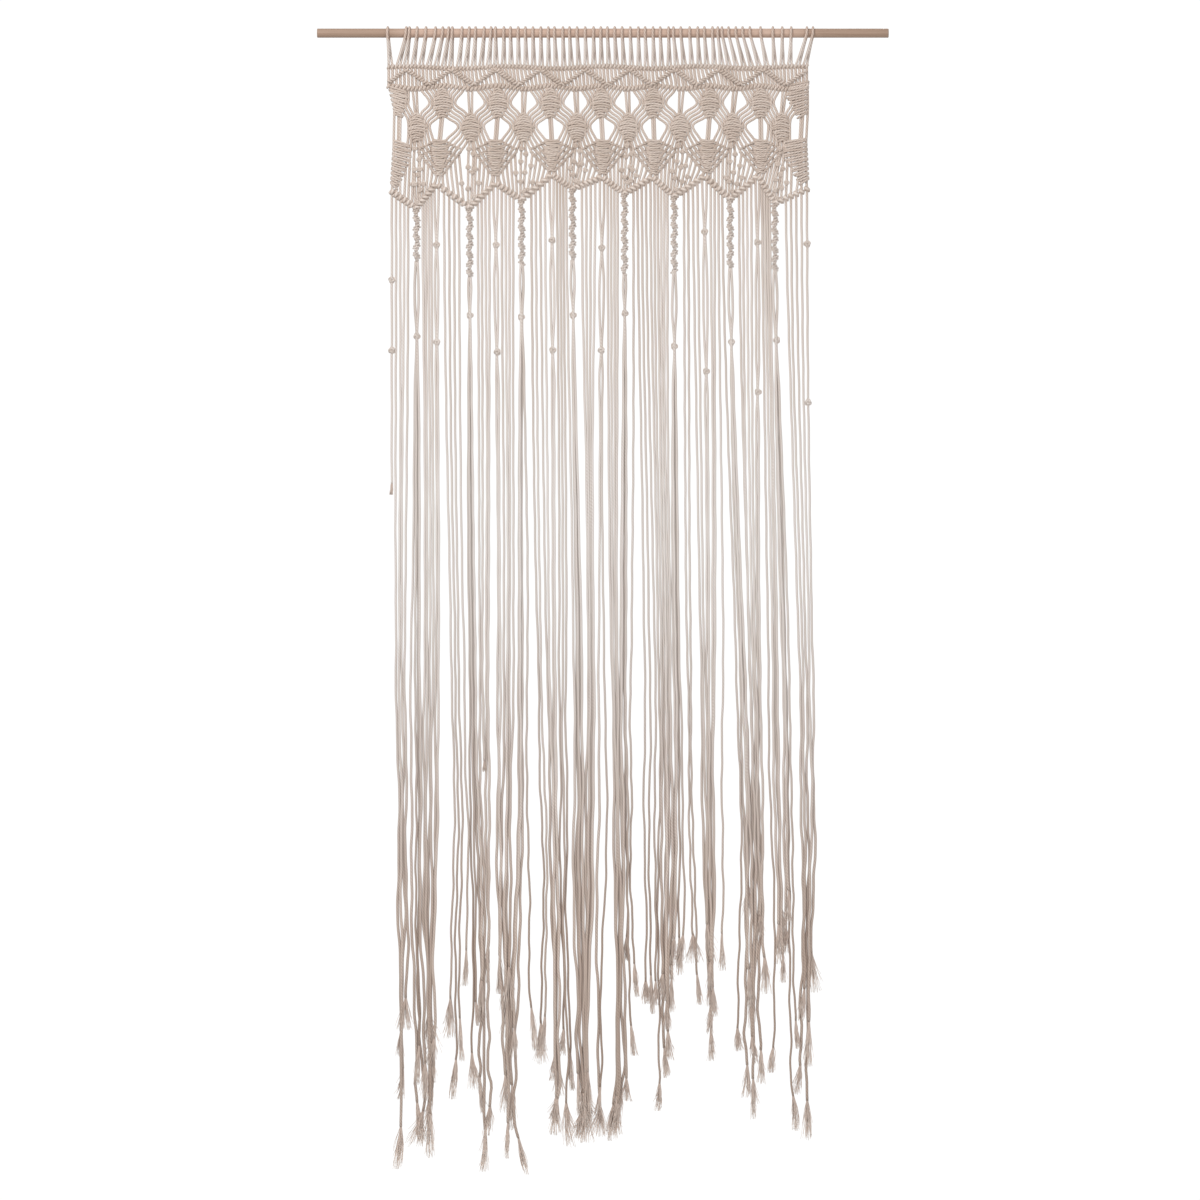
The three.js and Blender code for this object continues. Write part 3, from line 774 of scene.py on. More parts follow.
def edge_point(i):
    """A straight limb from the valley of a repeat to the peak at its seam, with the strands closer below."""
    in_repeat = np.minimum(np.floor((i + 0.5) / PER_REPEAT).astype(int), REPEATS - 1)
    from_valley = (i + 0.5 - PER_REPEAT * in_repeat) / (PER_REPEAT / 2) - 1
    peak = in_repeat + (from_valley > 0)
    share = np.abs(from_valley) ** CLOSER_BELOW
    x = (1 - share) * valley_x[in_repeat] + share * peak_x[peak]
    z = (1 - share) * valley_z[in_repeat] + share * peak_z[peak]
    return in_plane(x, z)


def edge_run(step):
    """The way along the edge from a step before every strand to a step after it."""
    return edge_point(strand + step) - edge_point(strand - step)


edge_turns = edge_point(strand)
edge_spacing = np.linalg.norm(edge_run(BEAD_STEP), axis=-1) / (2 * BEAD_STEP)
bead_radius = np.clip(edge_spacing / 2, *BEAD_RADII)[:, None]
bead_size = dict(high=2.7, deep=2.6, lean=1.0, cord=bead_radius)
hitched_bar("bottom_edge", edge_turns, "fringe", **bead_size, direction=edge_run(SMALL_STEP), mirrored=True)
cord_piece("edge_core", edge_turns[None], CORD_RADIUS, DEPTH, "fringe")

# %% [markdown]
# Strands from knot to knot
#
# Below the upper bar every strand runs through the zigzag, the lower bar and the three rows of leaf knots to
# the bottom edge. The five strands on each side of a seam swing to its first row knot, across to the second
# row knot of the repeat, and back to the third row. How far out on the leaf a strand is met follows from its
# rank, so that the strands lie side by side.

# %% Places on the leaf knots
INSET = 2
BOW = 13
SIDE_STRANDS = 5
TIP_GAP = 5
WINDOW_ROUND = 0.84

third_out = np.clip((rank - 0.5) / SIDE_STRANDS, 0, 1)
first_out = WINDOW_ROUND * third_out
second_out = WINDOW_ROUND * (1 - third_out)
first, second, third = first_x[seam], second_x[repeat], third_x[seam]
third_row = dict(THIRD_ROW, bottom=peak_z[seam] + TIP_GAP)


def leaf_sides(x, row, sign, out):
    """Where strands meet the upper and the lower side of a leaf knot, a little inside its outline.

    Both sides are straight, from the top to the widest part and on to the bottom, and out is the share of the
    way to the widest part.
    """
    half_wide = row["half_wide"] + BOW * row["bowed"]
    half_above = blend(row["half_top"], half_wide, out) - INSET
    half_below = blend(half_wide, row["half_bottom"], 1 - out) - INSET
    above = in_plane(x + sign * half_above, blend(row["top"], row["wide"], out) - INSET)
    below = in_plane(x + sign * half_below, blend(row["wide"], row["bottom"], 1 - out) + INSET)
    return above, below


through_sides = np.stack([
    *leaf_sides(first, FIRST_ROW, side, first_out),
    *leaf_sides(second, SECOND_ROW, -side, second_out),
    *leaf_sides(third, third_row, side, third_out),
], axis=1)
print("strands pass", through_sides.shape[1], "places on the leaf knots")

# %% [markdown]
# Strands that hang straight
#
# Some strands skip knots. The two fillers of a seam hang through its first and third row knot, as do the
# strands that run down the side edges. The two fillers of a repeat hang through the second row knot. They
# are given six places too, on straight lines between the heights where knots begin and end.

# %% Places of the straight strands
FIRST_IN, FIRST_OUT = -103, -140
SECOND_IN, SECOND_OUT = -146, -184
THIRD_IN, THIRD_OUT = -195, -234
BELOW_BAR = -97
DIAMOND_TOP, DIAMOND_BOTTOM = -216, -280
FILLER_SPREAD = 4.4
ENDS = (0, 1)
THIRDS = (0.33, 0.67)
UPPER_HALF = (0, 0.5)
EDGE_STRANDS = np.array([
    # outermost strand, second, third
    (-365, -357.5, -354),
    (358.5, 350.5, 347),
])


def hanging(top_x, top_z, bottom_x, bottom_z, shares):
    """Points on straight lines, at the given shares of the way down."""
    shares = np.array(shares)
    return in_plane(blend(top_x[:, None], bottom_x[:, None], shares), blend(top_z, bottom_z, shares))


last_rank = EDGE_STRANDS.shape[1] - 1
runs_down_edge = ((seam == 0) | (seam == REPEATS)) & (rank <= last_rank)
edge_strand_x = EDGE_STRANDS[(seam > 0).astype(int), np.minimum(rank, last_rank)]
beside = np.where(runs_down_edge, edge_strand_x - first, side * CORD_RADIUS)
through_seam = np.concatenate([
    hanging(first + beside, FIRST_IN, first + beside, FIRST_OUT, ENDS),
    hanging(first + beside, FIRST_OUT, third + beside, THIRD_IN, THIRDS),
    hanging(third + beside, THIRD_IN, third + beside, THIRD_OUT, ENDS),
], axis=1)
inner_x = second - side * CORD_RADIUS
through_middle = np.concatenate([
    hanging(lower_x, BELOW_BAR, inner_x, SECOND_IN, THIRDS),
    hanging(inner_x, SECOND_IN, inner_x, SECOND_OUT, ENDS),
    hanging(second - side * FILLER_SPREAD, DIAMOND_TOP, edge_turns[:, 0], DIAMOND_BOTTOM, UPPER_HALF),
], axis=1)
hangs_at_seam = is_seam_filler | runs_down_edge
print(hangs_at_seam.sum(), "strands hang at the seams and", is_repeat_filler.sum(), "in the repeats")

# %% [markdown]
# Strands of the knotted panel
#
# Each strand now has ten places to pass, and flow bends it smoothly through them. Every second one lies a
# little further back, so that neighbours cross without sinking into each other. The cord is slack between
# the bars and pulled thin inside the hearts of the third row, where light shows between the hitched lines.

# %% Lay the strands of the panel
PULLED_RADIUS = 2.3
SLACK_BETWEEN_BARS = 0.25
LOWER_BAR_EDGES = (-98, -88)
HEART_RADIUS = 1.4
HEART_STRETCH = 7
PER_STRETCH = 7
ZIGZAG_DEPTH = -1
CROSSING_DEPTH = 0.9


def smooth_step(low, high, value):
    """0 before low, 1 after high, and a smooth rise 3t squared - 2t cubed between."""
    t = np.clip((value - low) / (high - low), 0, 1)
    return t * t * (3 - 2 * t)


through_knots = np.where(hangs_at_seam[:, None, None], through_seam, through_sides)
through_knots = np.where(is_repeat_filler[:, None, None], through_middle, through_knots)
through_knots[:, :, 1] += np.where(strand % 2, CROSSING_DEPTH, -CROSSING_DEPTH)[:, None]
crossing_x = (upper_x + lower_x) / 2
on_zigzag = in_plane(crossing_x, zigzag_z(crossing_x), ZIGZAG_DEPTH)
on_bars = np.stack([upper_turns, on_zigzag, lower_turns], axis=1)
panel_strands = flow(np.concatenate([on_bars, through_knots, edge_turns[:, None]], axis=1), PER_STRETCH)

between_bars = smooth_step(*LOWER_BAR_EDGES, panel_strands[..., 2])
strand_radius = PULLED_RADIUS + SLACK_BETWEEN_BARS * between_bars
in_heart = slice(HEART_STRETCH * PER_STRETCH + 1, (HEART_STRETCH + 1) * PER_STRETCH)
strand_radius[~(hangs_at_seam | is_repeat_filler), in_heart] = HEART_RADIUS
cord_piece("panel_strands", panel_strands, strand_radius, ALONG_ROD, "knotted_panel")

# %% [markdown]
# Turns of a leaf knot
#
# A leaf knot is a column of turns, each tied with the next pair of strands from the sides. Its turns are
# widest in the middle, and in the first two rows their ends hang down like a moustache, because they carry on
# into the strands below. A turn is again a closed ring, flat from front to back, with its ends lowered by a
# parabola. Every turn has its own reach to the left and right, so one function ties whole and half knots.

# %% Shape the turns
LEAF_DEPTH = 3.2
TURN_TILT = 0.8
TILT_CHANCE = 0.25
HANG_FADES = 0.6


def leaf_half_width(row, down):
    """Straight sides from the top to the widest part and from there to the bottom."""
    widest = (row["top"] - row["wide"]) / (row["top"] - row["bottom"])
    return np.interp(down, [0, widest, 1], [row["half_top"], row["half_wide"], row["half_bottom"]])


def way_down(turns):
    """The share of the way down a knot for the middle of every turn."""
    return (np.arange(turns) + 0.5) / turns


def leaf_turns(x, top, bottom, hang, reach_left, reach_right, slope=0):
    """Rings of all turns of some knots, flattened from front to back.

    Ring point: x = middle + half width cos a, y = depth sin a, z = height + tilt cos a - hang cos a squared.
    Every second turn tilts the other way, as strands come in from the left and the right by turns.
    """
    knots, turns = reach_left.shape
    down = way_down(turns)
    middle = (x[:, None] + (reach_right - reach_left) / 2)[:, :, None]
    span = ((reach_right + reach_left) / 2)[:, :, None]
    tilt = slope + np.where(np.arange(turns) % 2, TURN_TILT, -TURN_TILT)
    tilt = (tilt + chance.normal(0, TILT_CHANCE, (knots, turns)))[:, :, None]
    lowered = (hang * (1 - HANG_FADES * down))[:, None]
    turn_z = blend(top, bottom, down[:, None]) + 0 * x[:, None, None]
    angle = once_round(RING_STEPS)
    ring_x = middle + span * np.cos(angle)
    ring_y = -LEAF_DEPTH * np.sin(angle) + 0 * span
    ring_z = turn_z + tilt * np.cos(angle) - lowered * np.cos(angle) ** 2
    return np.stack(np.broadcast_arrays(ring_x, ring_y, ring_z), axis=-1).reshape(-1, RING_STEPS, 3)


print("half widths down a first row knot:", leaf_half_width(FIRST_ROW, way_down(4)).round(1), "mm")

# %% [markdown]
# Leaf knots
#
# In the first two rows a knot has the outline of its row. The third row's is a narrower column that runs on
# to the tip of a heart, which stops above the bottom edge where the edge's peak is low. At the side edges
# only half a leaf is tied: its inner side bulges, and its turns drop towards that side.

# %% Build the leaf knots
LEAF_CORD = 2.2
LEAF_TURNS = 12
LEAF_HANG = 6
COLUMN_TURNS = 15
COLUMN_HANG = -2
TURN_STEP = 4.3
EDGE_DROOP = 4
OUTER_REACH = 14
HEART_TIP = -250
COLUMN = dict(top=-187, wide=-206, bottom=-240, half_top=11, half_wide=14, half_bottom=3)
EDGE_KNOTS = np.array([
    # middle, top, bottom, outer reach at both, share down to the widest turn, inner reach at all three
    (-364, -96, -146, 11, 0, 0.3, 20, 23, 12),
    (353, -86, -146, 7, 4, 0.3, 26, 33, 11),
    (-365, -190, -270, 1, 6, 0.3, 26, 29, 4),
    (350, -186, -262, 6, 10, 0.25, 33, 38, 4),
], float)


def whole_leaves(x, row, bottom, turns, hang, outer_reach=np.inf):
    """Leaves with the outline of their row, cut short at the outer side of the first and last knot."""
    reach = leaf_half_width(row, way_down(turns)) + 0 * x[:, None]
    reach_left, reach_right = reach.copy(), reach.copy()
    reach_left[0] = np.minimum(reach_left[0], outer_reach)
    reach_right[-1] = np.minimum(reach_right[-1], outer_reach)
    return leaf_turns(x, row["top"], bottom, hang, reach_left, reach_right)


def edge_leaf(middle, top, bottom, outer_top, outer_bottom, widest, *inner):
    """Half a leaf at a side edge, whose reach inwards has straight sides and outwards changes evenly."""
    down = way_down(round((top - bottom) / TURN_STEP))
    outer_reach = blend(outer_top, outer_bottom, down)[None]
    inner_reach = np.interp(down, [0, widest, 1], inner)[None]
    x = np.array([middle])
    if middle < 0:
        return leaf_turns(x, top, bottom, 0, outer_reach, inner_reach, -EDGE_DROOP)
    return leaf_turns(x, top, bottom, 0, inner_reach, outer_reach, EDGE_DROOP)


heart_tip = np.maximum(peak_z + TIP_GAP, HEART_TIP)
column_bottom = heart_tip[1:-1, None, None]
leaf_rings = np.concatenate([
    whole_leaves(first_x[1:-1], FIRST_ROW, FIRST_ROW["bottom"], LEAF_TURNS, LEAF_HANG),
    whole_leaves(second_x, SECOND_ROW, SECOND_ROW["bottom"], LEAF_TURNS, LEAF_HANG, OUTER_REACH),
    whole_leaves(third_x[1:-1], COLUMN, column_bottom, COLUMN_TURNS, COLUMN_HANG),
    *[edge_leaf(*row) for row in EDGE_KNOTS],
])
cord_piece("leaf_knots", leaf_rings, LEAF_CORD, UP, "knotted_panel", RING_SIDES, closed=True)

# %% [markdown]
# Hitched sides of the third row
#
# The third row's leaves hang like hearts. On both sides of the seven inner ones a hitched line slopes out
# from the top to the shoulder, and four more run side by side from there down to the point, with small gaps
# between them. They are bars like those above, only short. Each line is given by its two ends, and its turns
# stand evenly between them.

# %% Build the sides of the third row
SHOULDER_OUT = (6, 36)
SHOULDER_Z = (-188, -203)
SHOULDER_TURNS = 7
LINE_STEP = 10
HEART_LINES = np.array([
    # upper end: out from the middle, height, then how far out the lower end is, and the number of turns
    (37, -207, 4, 13),
    (30, -203.5, 4, 11),
    (23, -200, 4, 8),
    (16, -196.5, 5, 6),
], float)

half_heart = np.tile(np.arange(1, REPEATS), 2)
half_heart_side = np.repeat([-1, 1], REPEATS - 1)
tip_z = heart_tip[half_heart]


def hitched_line(out, z, turns):
    """Places between two ends, given as distances from the middle of the leaf and heights."""
    share = way_down(int(turns))[:, None]
    line_x = third_x[half_heart] + half_heart_side * blend(*out, share)
    return in_plane(line_x, blend(*z, share)).swapaxes(0, 1)


lines = [hitched_line(SHOULDER_OUT, SHOULDER_Z, SHOULDER_TURNS)]
for number, (top_out, top_z, tip_out, turns) in enumerate(HEART_LINES):
    lines.append(hitched_line((top_out, tip_out), (top_z, tip_z + LINE_STEP * number), turns))
heart_turns = np.concatenate([line.reshape(-1, 3) for line in lines])
heart_run = np.concatenate([np.gradient(line, axis=1).reshape(-1, 3) for line in lines])
heart_size = dict(high=1.55, deep=2.8, lean=1.6, cord=1.8)
hitched_bar("heart_sides", heart_turns, "knotted_panel", **heart_size, direction=heart_run, mirrored=True)

# %% [markdown]
# Overhand knots
#
# Here and there strands are tied in a plain overhand knot. A tight overhand knot is a trefoil: a cord that
# goes twice round a ring while it winds three times about it. That formula gives the ball of three crossing
# turns at once. Large ones sit on the fringe. Small ones lie on the front of the strands in the diamonds
# below the second row, by one table for all repeats with a little chance.

# %% Tie the small knots
KNOT_FORWARD = 2.5
SHARE_CHANCE = 0.03
SMALL_KNOTS = np.array([
    # place of the strand in its repeat, share of the way from the second row down to the edge
    (6, 0.12),
    (7, 0.20),
    (6, 0.38),
    (8, 0.44),
    (7, 0.52),
    (5, 0.60),
    (9, 0.64),
    (6, 0.70),
    (8, 0.78),
    (7, 0.88),
], float)


def overhand(centres, ring, swing, steps):
    """Trefoil: radius r = ring + swing cos 3a, angle 2a in the plane of the curtain, depth swing sin 3a."""
    a = once_round(steps)[None, :, None]
    turned = chance.uniform(0, FULL_TURN, (len(centres), 1, 1))
    radius = ring + swing * np.cos(3 * a)
    across = radius * np.cos(2 * a + turned) * ALONG_ROD
    upward = radius * np.sin(2 * a + turned) * UP
    return centres[:, None] + across + upward + swing * np.sin(3 * a) * DEPTH


knotted = (PER_REPEAT * np.arange(REPEATS)[:, None] + SMALL_KNOTS[:, 0].astype(int)).ravel()
small_share = np.tile(SMALL_KNOTS[:, 1], REPEATS) + chance.normal(0, SHARE_CHANCE, len(knotted))
small_z = blend(SECOND_ROW["bottom"], valley_z[repeat[knotted]], small_share)
closest = np.abs(panel_strands[knotted, :, 2] - small_z[:, None]).argmin(axis=1)
small_places = panel_strands[knotted, closest] - KNOT_FORWARD * DEPTH
small_knots = overhand(small_places, ring=2.3, swing=1.3, steps=24)
cord_piece("small_knots", small_knots, CORD_RADIUS, DEPTH, "knotted_panel", RING_SIDES, closed=True)

# %% [markdown]
# Spiral sinnets
#
# At each valley four strands are tied into a chain of half knots. A half knot always turns the same way, so
# the chain twists into a spiral. Each knot is a ring that is longer one way than the other, and each ring is
# turned a little further than the one above, so that the long ends climb round the chain like a stair.

# %% Build the sinnets
KNOT_STEP = 4.1
KNOT_TURN = np.radians(46)
KNOT_LONG = 5.7
KNOT_SHORT = 1.0
KNOT_TILT = 2.4
KNOT_DARKER = 0.3
CHAIN_RADIUS = 2.2
CHAIN_STEPS = 30

knots_in_chain = np.round(sinnet_length / KNOT_STEP).astype(int)
chain = np.repeat(np.arange(REPEATS), knots_in_chain)
knot = np.concatenate([np.arange(count) for count in knots_in_chain])
knot_z = valley_z[chain] - (knot + 0.5) * sinnet_length[chain] / knots_in_chain[chain]
knot_centres = in_plane(valley_x[chain], knot_z)[:, None]
knot_angle = (knot * KNOT_TURN)[:, None, None]
long_way = np.cos(knot_angle) * ALONG_ROD + np.sin(knot_angle) * DEPTH
short_way = np.cos(knot_angle) * DEPTH - np.sin(knot_angle) * ALONG_ROD
ring_angle = once_round(RING_STEPS)[None, :, None]
long_part = np.cos(ring_angle) * (KNOT_LONG * long_way + KNOT_TILT * UP)
sinnet_rings = knot_centres + long_part + KNOT_SHORT * np.sin(ring_angle) * short_way
sinnet_look = dict(sides=RING_SIDES, closed=True, darker=KNOT_DARKER)
cord_piece("spiral_sinnets", sinnet_rings, CORD_RADIUS, UP, "fringe", **sinnet_look)
chain_top = in_plane(valley_x, valley_z)
chain_cores = np.linspace(chain_top, chain_top - sinnet_length[:, None] * UP, CHAIN_STEPS, axis=1)
cord_piece("sinnet_cores", chain_cores, CHAIN_RADIUS, ALONG_ROD, "fringe")

# %% [markdown]
# How the fringe ends
#
# From the bottom edge the strands fall free. They start evenly spaced and drift into clumps on the way down.
# A table lists the clumps as counted from left to right: where each is, how wide, how many strands it holds,
# and its shortest and longest strand. Ends within a clump are spread by multiples of the golden ratio, which
# never line up. Two strands are broken off higher up.

# %% Clumps and ends of the fringe
CLUMP_TABLE = np.array([
    # middle, width, strands, shortest, longest
    (-353, 26, 6, 1745, 1988),
    (-324, 0, 1, 1841, 1841),
    (-303, 29, 8, 1787, 1969),
    (-257, 12, 3, 1760, 1866),
    (-234, 13, 3, 1668, 1850),
    (-208, 23, 6, 1663, 1993),
    (-164, 32, 9, 1682, 2000),
    (-109, 13, 3, 1783, 1806),
    (-84, 13, 4, 1834, 1929),
    (-65, 11, 3, 1790, 1950),
    (-30, 31, 10, 1887, 1942),
    (5, 0, 1, 1895, 1895),
    (26, 15, 6, 1870, 1940),
    (46, 11, 3, 1624, 1790),
    (82, 8, 2, 1700, 1717),
    (97, 5, 2, 1702, 1887),
    (114, 20, 7, 1631, 1829),
    (136, 9, 2, 1631, 1650),
    (155, 6, 2, 1629, 1701),
    (189, 16, 6, 1628, 1800),
    (212, 0, 1, 1642, 1642),
    (240, 0, 1, 1782, 1782),
    (262, 30, 10, 1548, 1901),
    (298, 0, 1, 1820, 1820),
    (315, 16, 5, 1557, 1663),
    (333, 0, 1, 1922, 1922),
    (343, 0, 1, 1778, 1778),
    (359, 17, 5, 1680, 1938),
], float)
GOLDEN = 0.618
# strand and height of its end
BROKEN = {0: -808, 24: -1293}

in_clump = CLUMP_TABLE[:, 2].astype(int)
clump = np.repeat(np.arange(len(in_clump)), in_clump)
clump_start = np.cumsum(in_clump) - in_clump
clump_place = strand - clump_start[clump]
clump_middle, clump_width, clump_count, shortest, longest = CLUMP_TABLE[clump].T
clump_share = clump_place / np.maximum(clump_count - 1, 1) - 0.5
clump_x = clump_middle + np.where(clump_count > 1, clump_width * clump_share, 0)

golden_share = np.mod(GOLDEN * (clump_place + longest), 1)
least = np.minimum.reduceat(golden_share, clump_start)[clump]
most = np.maximum.reduceat(golden_share, clump_start)[clump]
end_share = (golden_share - least) / np.maximum(most - least, 1e-9)
end_z = -blend(shortest, longest, end_share)
end_z[list(BROKEN)] = list(BROKEN.values())
print("the ends hang between", round(end_z.max()), "and", round(end_z.min()), "mm")

# %% [markdown]
# How the fringe drifts
#
# Hair curves could be dropped under gravity, but would not end in the clumps of the table. So a strand's path
# is a formula, worked out for 150 heights at once. It starts at the bottom edge, or at the lower end of a
# sinnet, drifts to its place in its clump, and sways a little on the way. Below a sinnet the four strands bow
# apart like a lens until their knot brings them together again. The last stretch is left for the frayed end.

# %% Let the strands drift
LAYER_DEPTH = 2
PAIR_OFFSET = 1.5
SINNET_STRANDS = 4
SINNET_OVERLAP = 1.5
LENS_BOW = 2.2
CLUMP_Z = -1517
FRINGE_STEPS = 150
EVEN_DRIFT = 0.4
SWAY = dict(size=4, along=0.05, down=0.004, start=0.6)
TUFT_LENGTHS = (40, 80)
BROKEN_TUFT = 20
SINNET_KNOTS = np.array([-530, -494, -497, -494, -490, -548, -541, -537], float)

from_middle = place + 0.5 - PER_REPEAT / 2
in_sinnet = np.abs(from_middle) < SINNET_STRANDS / 2
layer = np.where(strand % 2, LAYER_DEPTH, -LAYER_DEPTH).astype(float)
sinnet_end = valley_z[repeat] - sinnet_length[repeat] + SINNET_OVERLAP
root_x = np.where(in_sinnet, valley_x[repeat] + PAIR_OFFSET * np.sign(from_middle), edge_turns[:, 0])
root_y = np.where(in_sinnet, layer, 0)
root_z = np.where(in_sinnet, sinnet_end, edge_turns[:, 2])

tuft_length = chance.uniform(*TUFT_LENGTHS, STRANDS)
tuft_length[list(BROKEN)] = BROKEN_TUFT
z = np.linspace(root_z, end_z + tuft_length, FRINGE_STEPS, axis=1)
below_root = root_z[:, None] - z
drift = np.clip(below_root / (root_z - CLUMP_Z)[:, None], 0, 1)
eased = EVEN_DRIFT * drift + (1 - EVEN_DRIFT) * smooth_step(0, 1, drift)
x = blend(root_x[:, None], clump_x[:, None], eased)
x = x + SWAY["size"] * eased * np.sin(SWAY["along"] * x + SWAY["down"] * z + SWAY["start"])
y = blend(root_y[:, None], layer[:, None], eased)
to_knot = np.clip(below_root / (root_z - SINNET_KNOTS[repeat])[:, None], 0, 1)
x = x + (LENS_BOW * in_sinnet * np.sign(from_middle))[:, None] * np.sin(np.pi * to_knot)
print("strands drift", round(float(np.abs(x[:, -1] - x[:, 0]).mean())), "mm sideways on average")

# %% [markdown]
# Knots draw strands together
#
# The two fillers of nearly every seam are tied to each other twice on the way down, and the strands of a
# sinnet once more below it. So every strand gets a mate, its own number if it has none, and leans towards the
# middle of the two near a knot by a bell curve.

# %% Pair the knotted strands
NO_KNOT = 9000
KNOT_REACH = 42
KNOT_PULL = 0.85
SEAM_KNOTS = np.array([
    # height of the first knot, height of the second
    (-432, -555),
    (-371, -541),
    (-371, -558),
    (-362, -555),
    (-376, -555),
    (NO_KNOT, NO_KNOT),
    (-348, -592),
    (-366, -628),
    (-369, -646),
], float)

mate = strand.copy()
left_of_seam = PER_REPEAT * np.arange(1, REPEATS) - 1
mate[left_of_seam], mate[left_of_seam + 1] = left_of_seam + 1, left_of_seam
mate[in_sinnet] = (PER_REPEAT * repeat + PER_REPEAT - 1 - place)[in_sinnet]
knot_heights = np.full((STRANDS, 2), float(NO_KNOT))
knot_heights[is_seam_filler] = SEAM_KNOTS[seam[is_seam_filler]]
knot_heights[in_sinnet, 0] = SINNET_KNOTS[repeat[in_sinnet]]
near_knot = np.exp(-(((z[:, :, None] - knot_heights[:, None]) / KNOT_REACH) ** 2)).max(axis=-1)
x = blend(x, (x + x[mate]) / 2, KNOT_PULL * near_knot)
print((mate != strand).sum(), "strands have a mate")

# %% [markdown]
# Strands hang in small groups
#
# Further down neighbours cling together in small groups with open gaps between them. A group starts with each
# clump, at some places of the repeat always and elsewhere by chance, and mates stay together. The strands of
# a group are drawn to places side by side about its middle. They hold best above 1.2 m, part a little, and
# are drawn together again near the ends.

# %% Gather the groups
STARTS_GROUP = [5, 9, 13]
JOINS_GROUP = [0, 6, 7, 8]
GROUP_CHANCE = 0.6
GROUP_SPACING = 3.1
GROUP_WAVE_LENGTH = 170
GROUP_HOLD = 0.65
GROUP_WAVER = 0.3
WAVE_STARTS = (0, 6.3)
BELOW_SINNETS = 560
BELOW_EDGE = 60
GATHER_RUN = 420
LEAST_GATHERED = 0.65
# millimetres below the rod, from where the hold is least to where it is full
HELD_ABOVE = (1500, 1200)
HELD_BELOW = (1520, 1660)

below_rod = -z
starts_group = (chance.random(STRANDS) < GROUP_CHANCE) | (clump_place == 0) | np.isin(place, STARTS_GROUP)
starts_group &= ~np.isin(place, JOINS_GROUP) | (strand == 0)
group = np.cumsum(starts_group) - 1
group_first = np.flatnonzero(starts_group)
in_group = np.bincount(group)
group_middle = (np.add.reduceat(x, group_first, axis=0) / in_group[:, None])[group]
group_place = strand - group_first[group] - (in_group[group] - 1) / 2
group_wave = np.sin(z / GROUP_WAVE_LENGTH + chance.uniform(*WAVE_STARTS, STRANDS)[group][:, None])
gather_from = np.where(in_sinnet, BELOW_SINNETS, BELOW_EDGE - root_z)[:, None]
held = smooth_step(*HELD_ABOVE, below_rod) + smooth_step(*HELD_BELOW, below_rod)
gathered = smooth_step(gather_from, gather_from + GATHER_RUN, below_rod) * blend(LEAST_GATHERED, 1, held)
together = gathered * (1 - near_knot) * (GROUP_HOLD + GROUP_WAVER * group_wave)
x = blend(x, group_middle + GROUP_SPACING * group_place[:, None], together)
print(len(in_group), "groups of up to", in_group.max(), "strands")

# %% [markdown]
# Crimp and sway
#
# The cord was wound up before it was tied, and keeps a crimp that grows towards the end. Strands of a clump
# share the length of their waves and nearly the start of them. Slower waves, partly a group's and partly the
# strand's own, loosen the lower part.

# %% Crimp the strands
CRIMP_LENGTHS = (90, 170)
CRIMP_SPREAD = 1.2
CRIMP = dict(all_over=0.3, lower_half=0.7, ends=1.5, in_depth=0.5, slower=0.8)
SECOND_WAVE = dict(size=0.3, faster=2.3, start=1)
# millimetres below the rod
LOWER_HALF = (900, 1600)
LAST_STRETCH = (1650, 1950)
ROOT_HOLD = 60
SLOW_LENGTHS = (260, 600)
SLOW_FROM = (850, 1400)
GROUP_SWAY = 1.2
OWN_SWAY = 0.8

wave_length = chance.uniform(*CRIMP_LENGTHS, len(in_clump))[clump][:, None]
wave_start = chance.uniform(*WAVE_STARTS, len(in_clump))[clump] + chance.normal(0, CRIMP_SPREAD, STRANDS)
wave = FULL_TURN * z / wave_length + wave_start[:, None]
crimp = CRIMP["all_over"] + CRIMP["lower_half"] * smooth_step(*LOWER_HALF, below_rod)
crimp = crimp + CRIMP["ends"] * smooth_step(*LAST_STRETCH, below_rod)
crimp = crimp * smooth_step(0, ROOT_HOLD, below_root)
slow_wave = FULL_TURN * z / chance.uniform(*SLOW_LENGTHS, (STRANDS, 1))
slow_wave = slow_wave + chance.uniform(*WAVE_STARTS, (STRANDS, 1))
slow_sway = GROUP_SWAY * np.sin(slow_wave[group_first[group]]) + OWN_SWAY * np.sin(slow_wave)
second_wave = SECOND_WAVE["size"] * np.sin(SECOND_WAVE["faster"] * wave + SECOND_WAVE["start"])
x = x + crimp * (np.sin(wave) + second_wave)
x = x + smooth_step(*SLOW_FROM, below_rod) * slow_sway
y = y + CRIMP["in_depth"] * crimp * np.cos(CRIMP["slower"] * wave)
print("the crimp reaches", round(float(crimp.max()), 1), "mm")

# %% [markdown]
# Strands of the fringe
#
# Close to the ends the strands of a large clump tangle and are drawn towards its middle. Those of the small
# clumps hang alone, pulled thinner and a little darker, and the others are loosely twisted. The left and the
# right half are two pieces, so that each stays small enough to edit.

# %% Lay the fringe
SMALL_CLUMP = 3
CLUMP_MARGIN = 5
CLUMP_PULL = 0.8
TANGLED = (1530, 1660)
FRINGE_RADIUS = 2.1
THICKER_TOP = 0.15
TOP_STRETCH = (600, 400)
THIN_ALONE = -0.2
LOOSE_IN_CLUMP = 0.4
ALONE_DARKER = 0.6

hangs_alone = clump_count <= SMALL_CLUMP
half_clump = (clump_width / 2 + CLUMP_MARGIN)[:, None]
from_clump = (x - clump_middle[:, None]) / half_clump
pulled = half_clump * from_clump * np.minimum(np.abs(from_clump), 1) ** CLUMP_PULL
tangled = ~hangs_alone[:, None] * smooth_step(*TANGLED, below_rod)
x = blend(x, clump_middle[:, None] + pulled, tangled)
fringe_paths = np.stack([x, y, z], axis=-1)

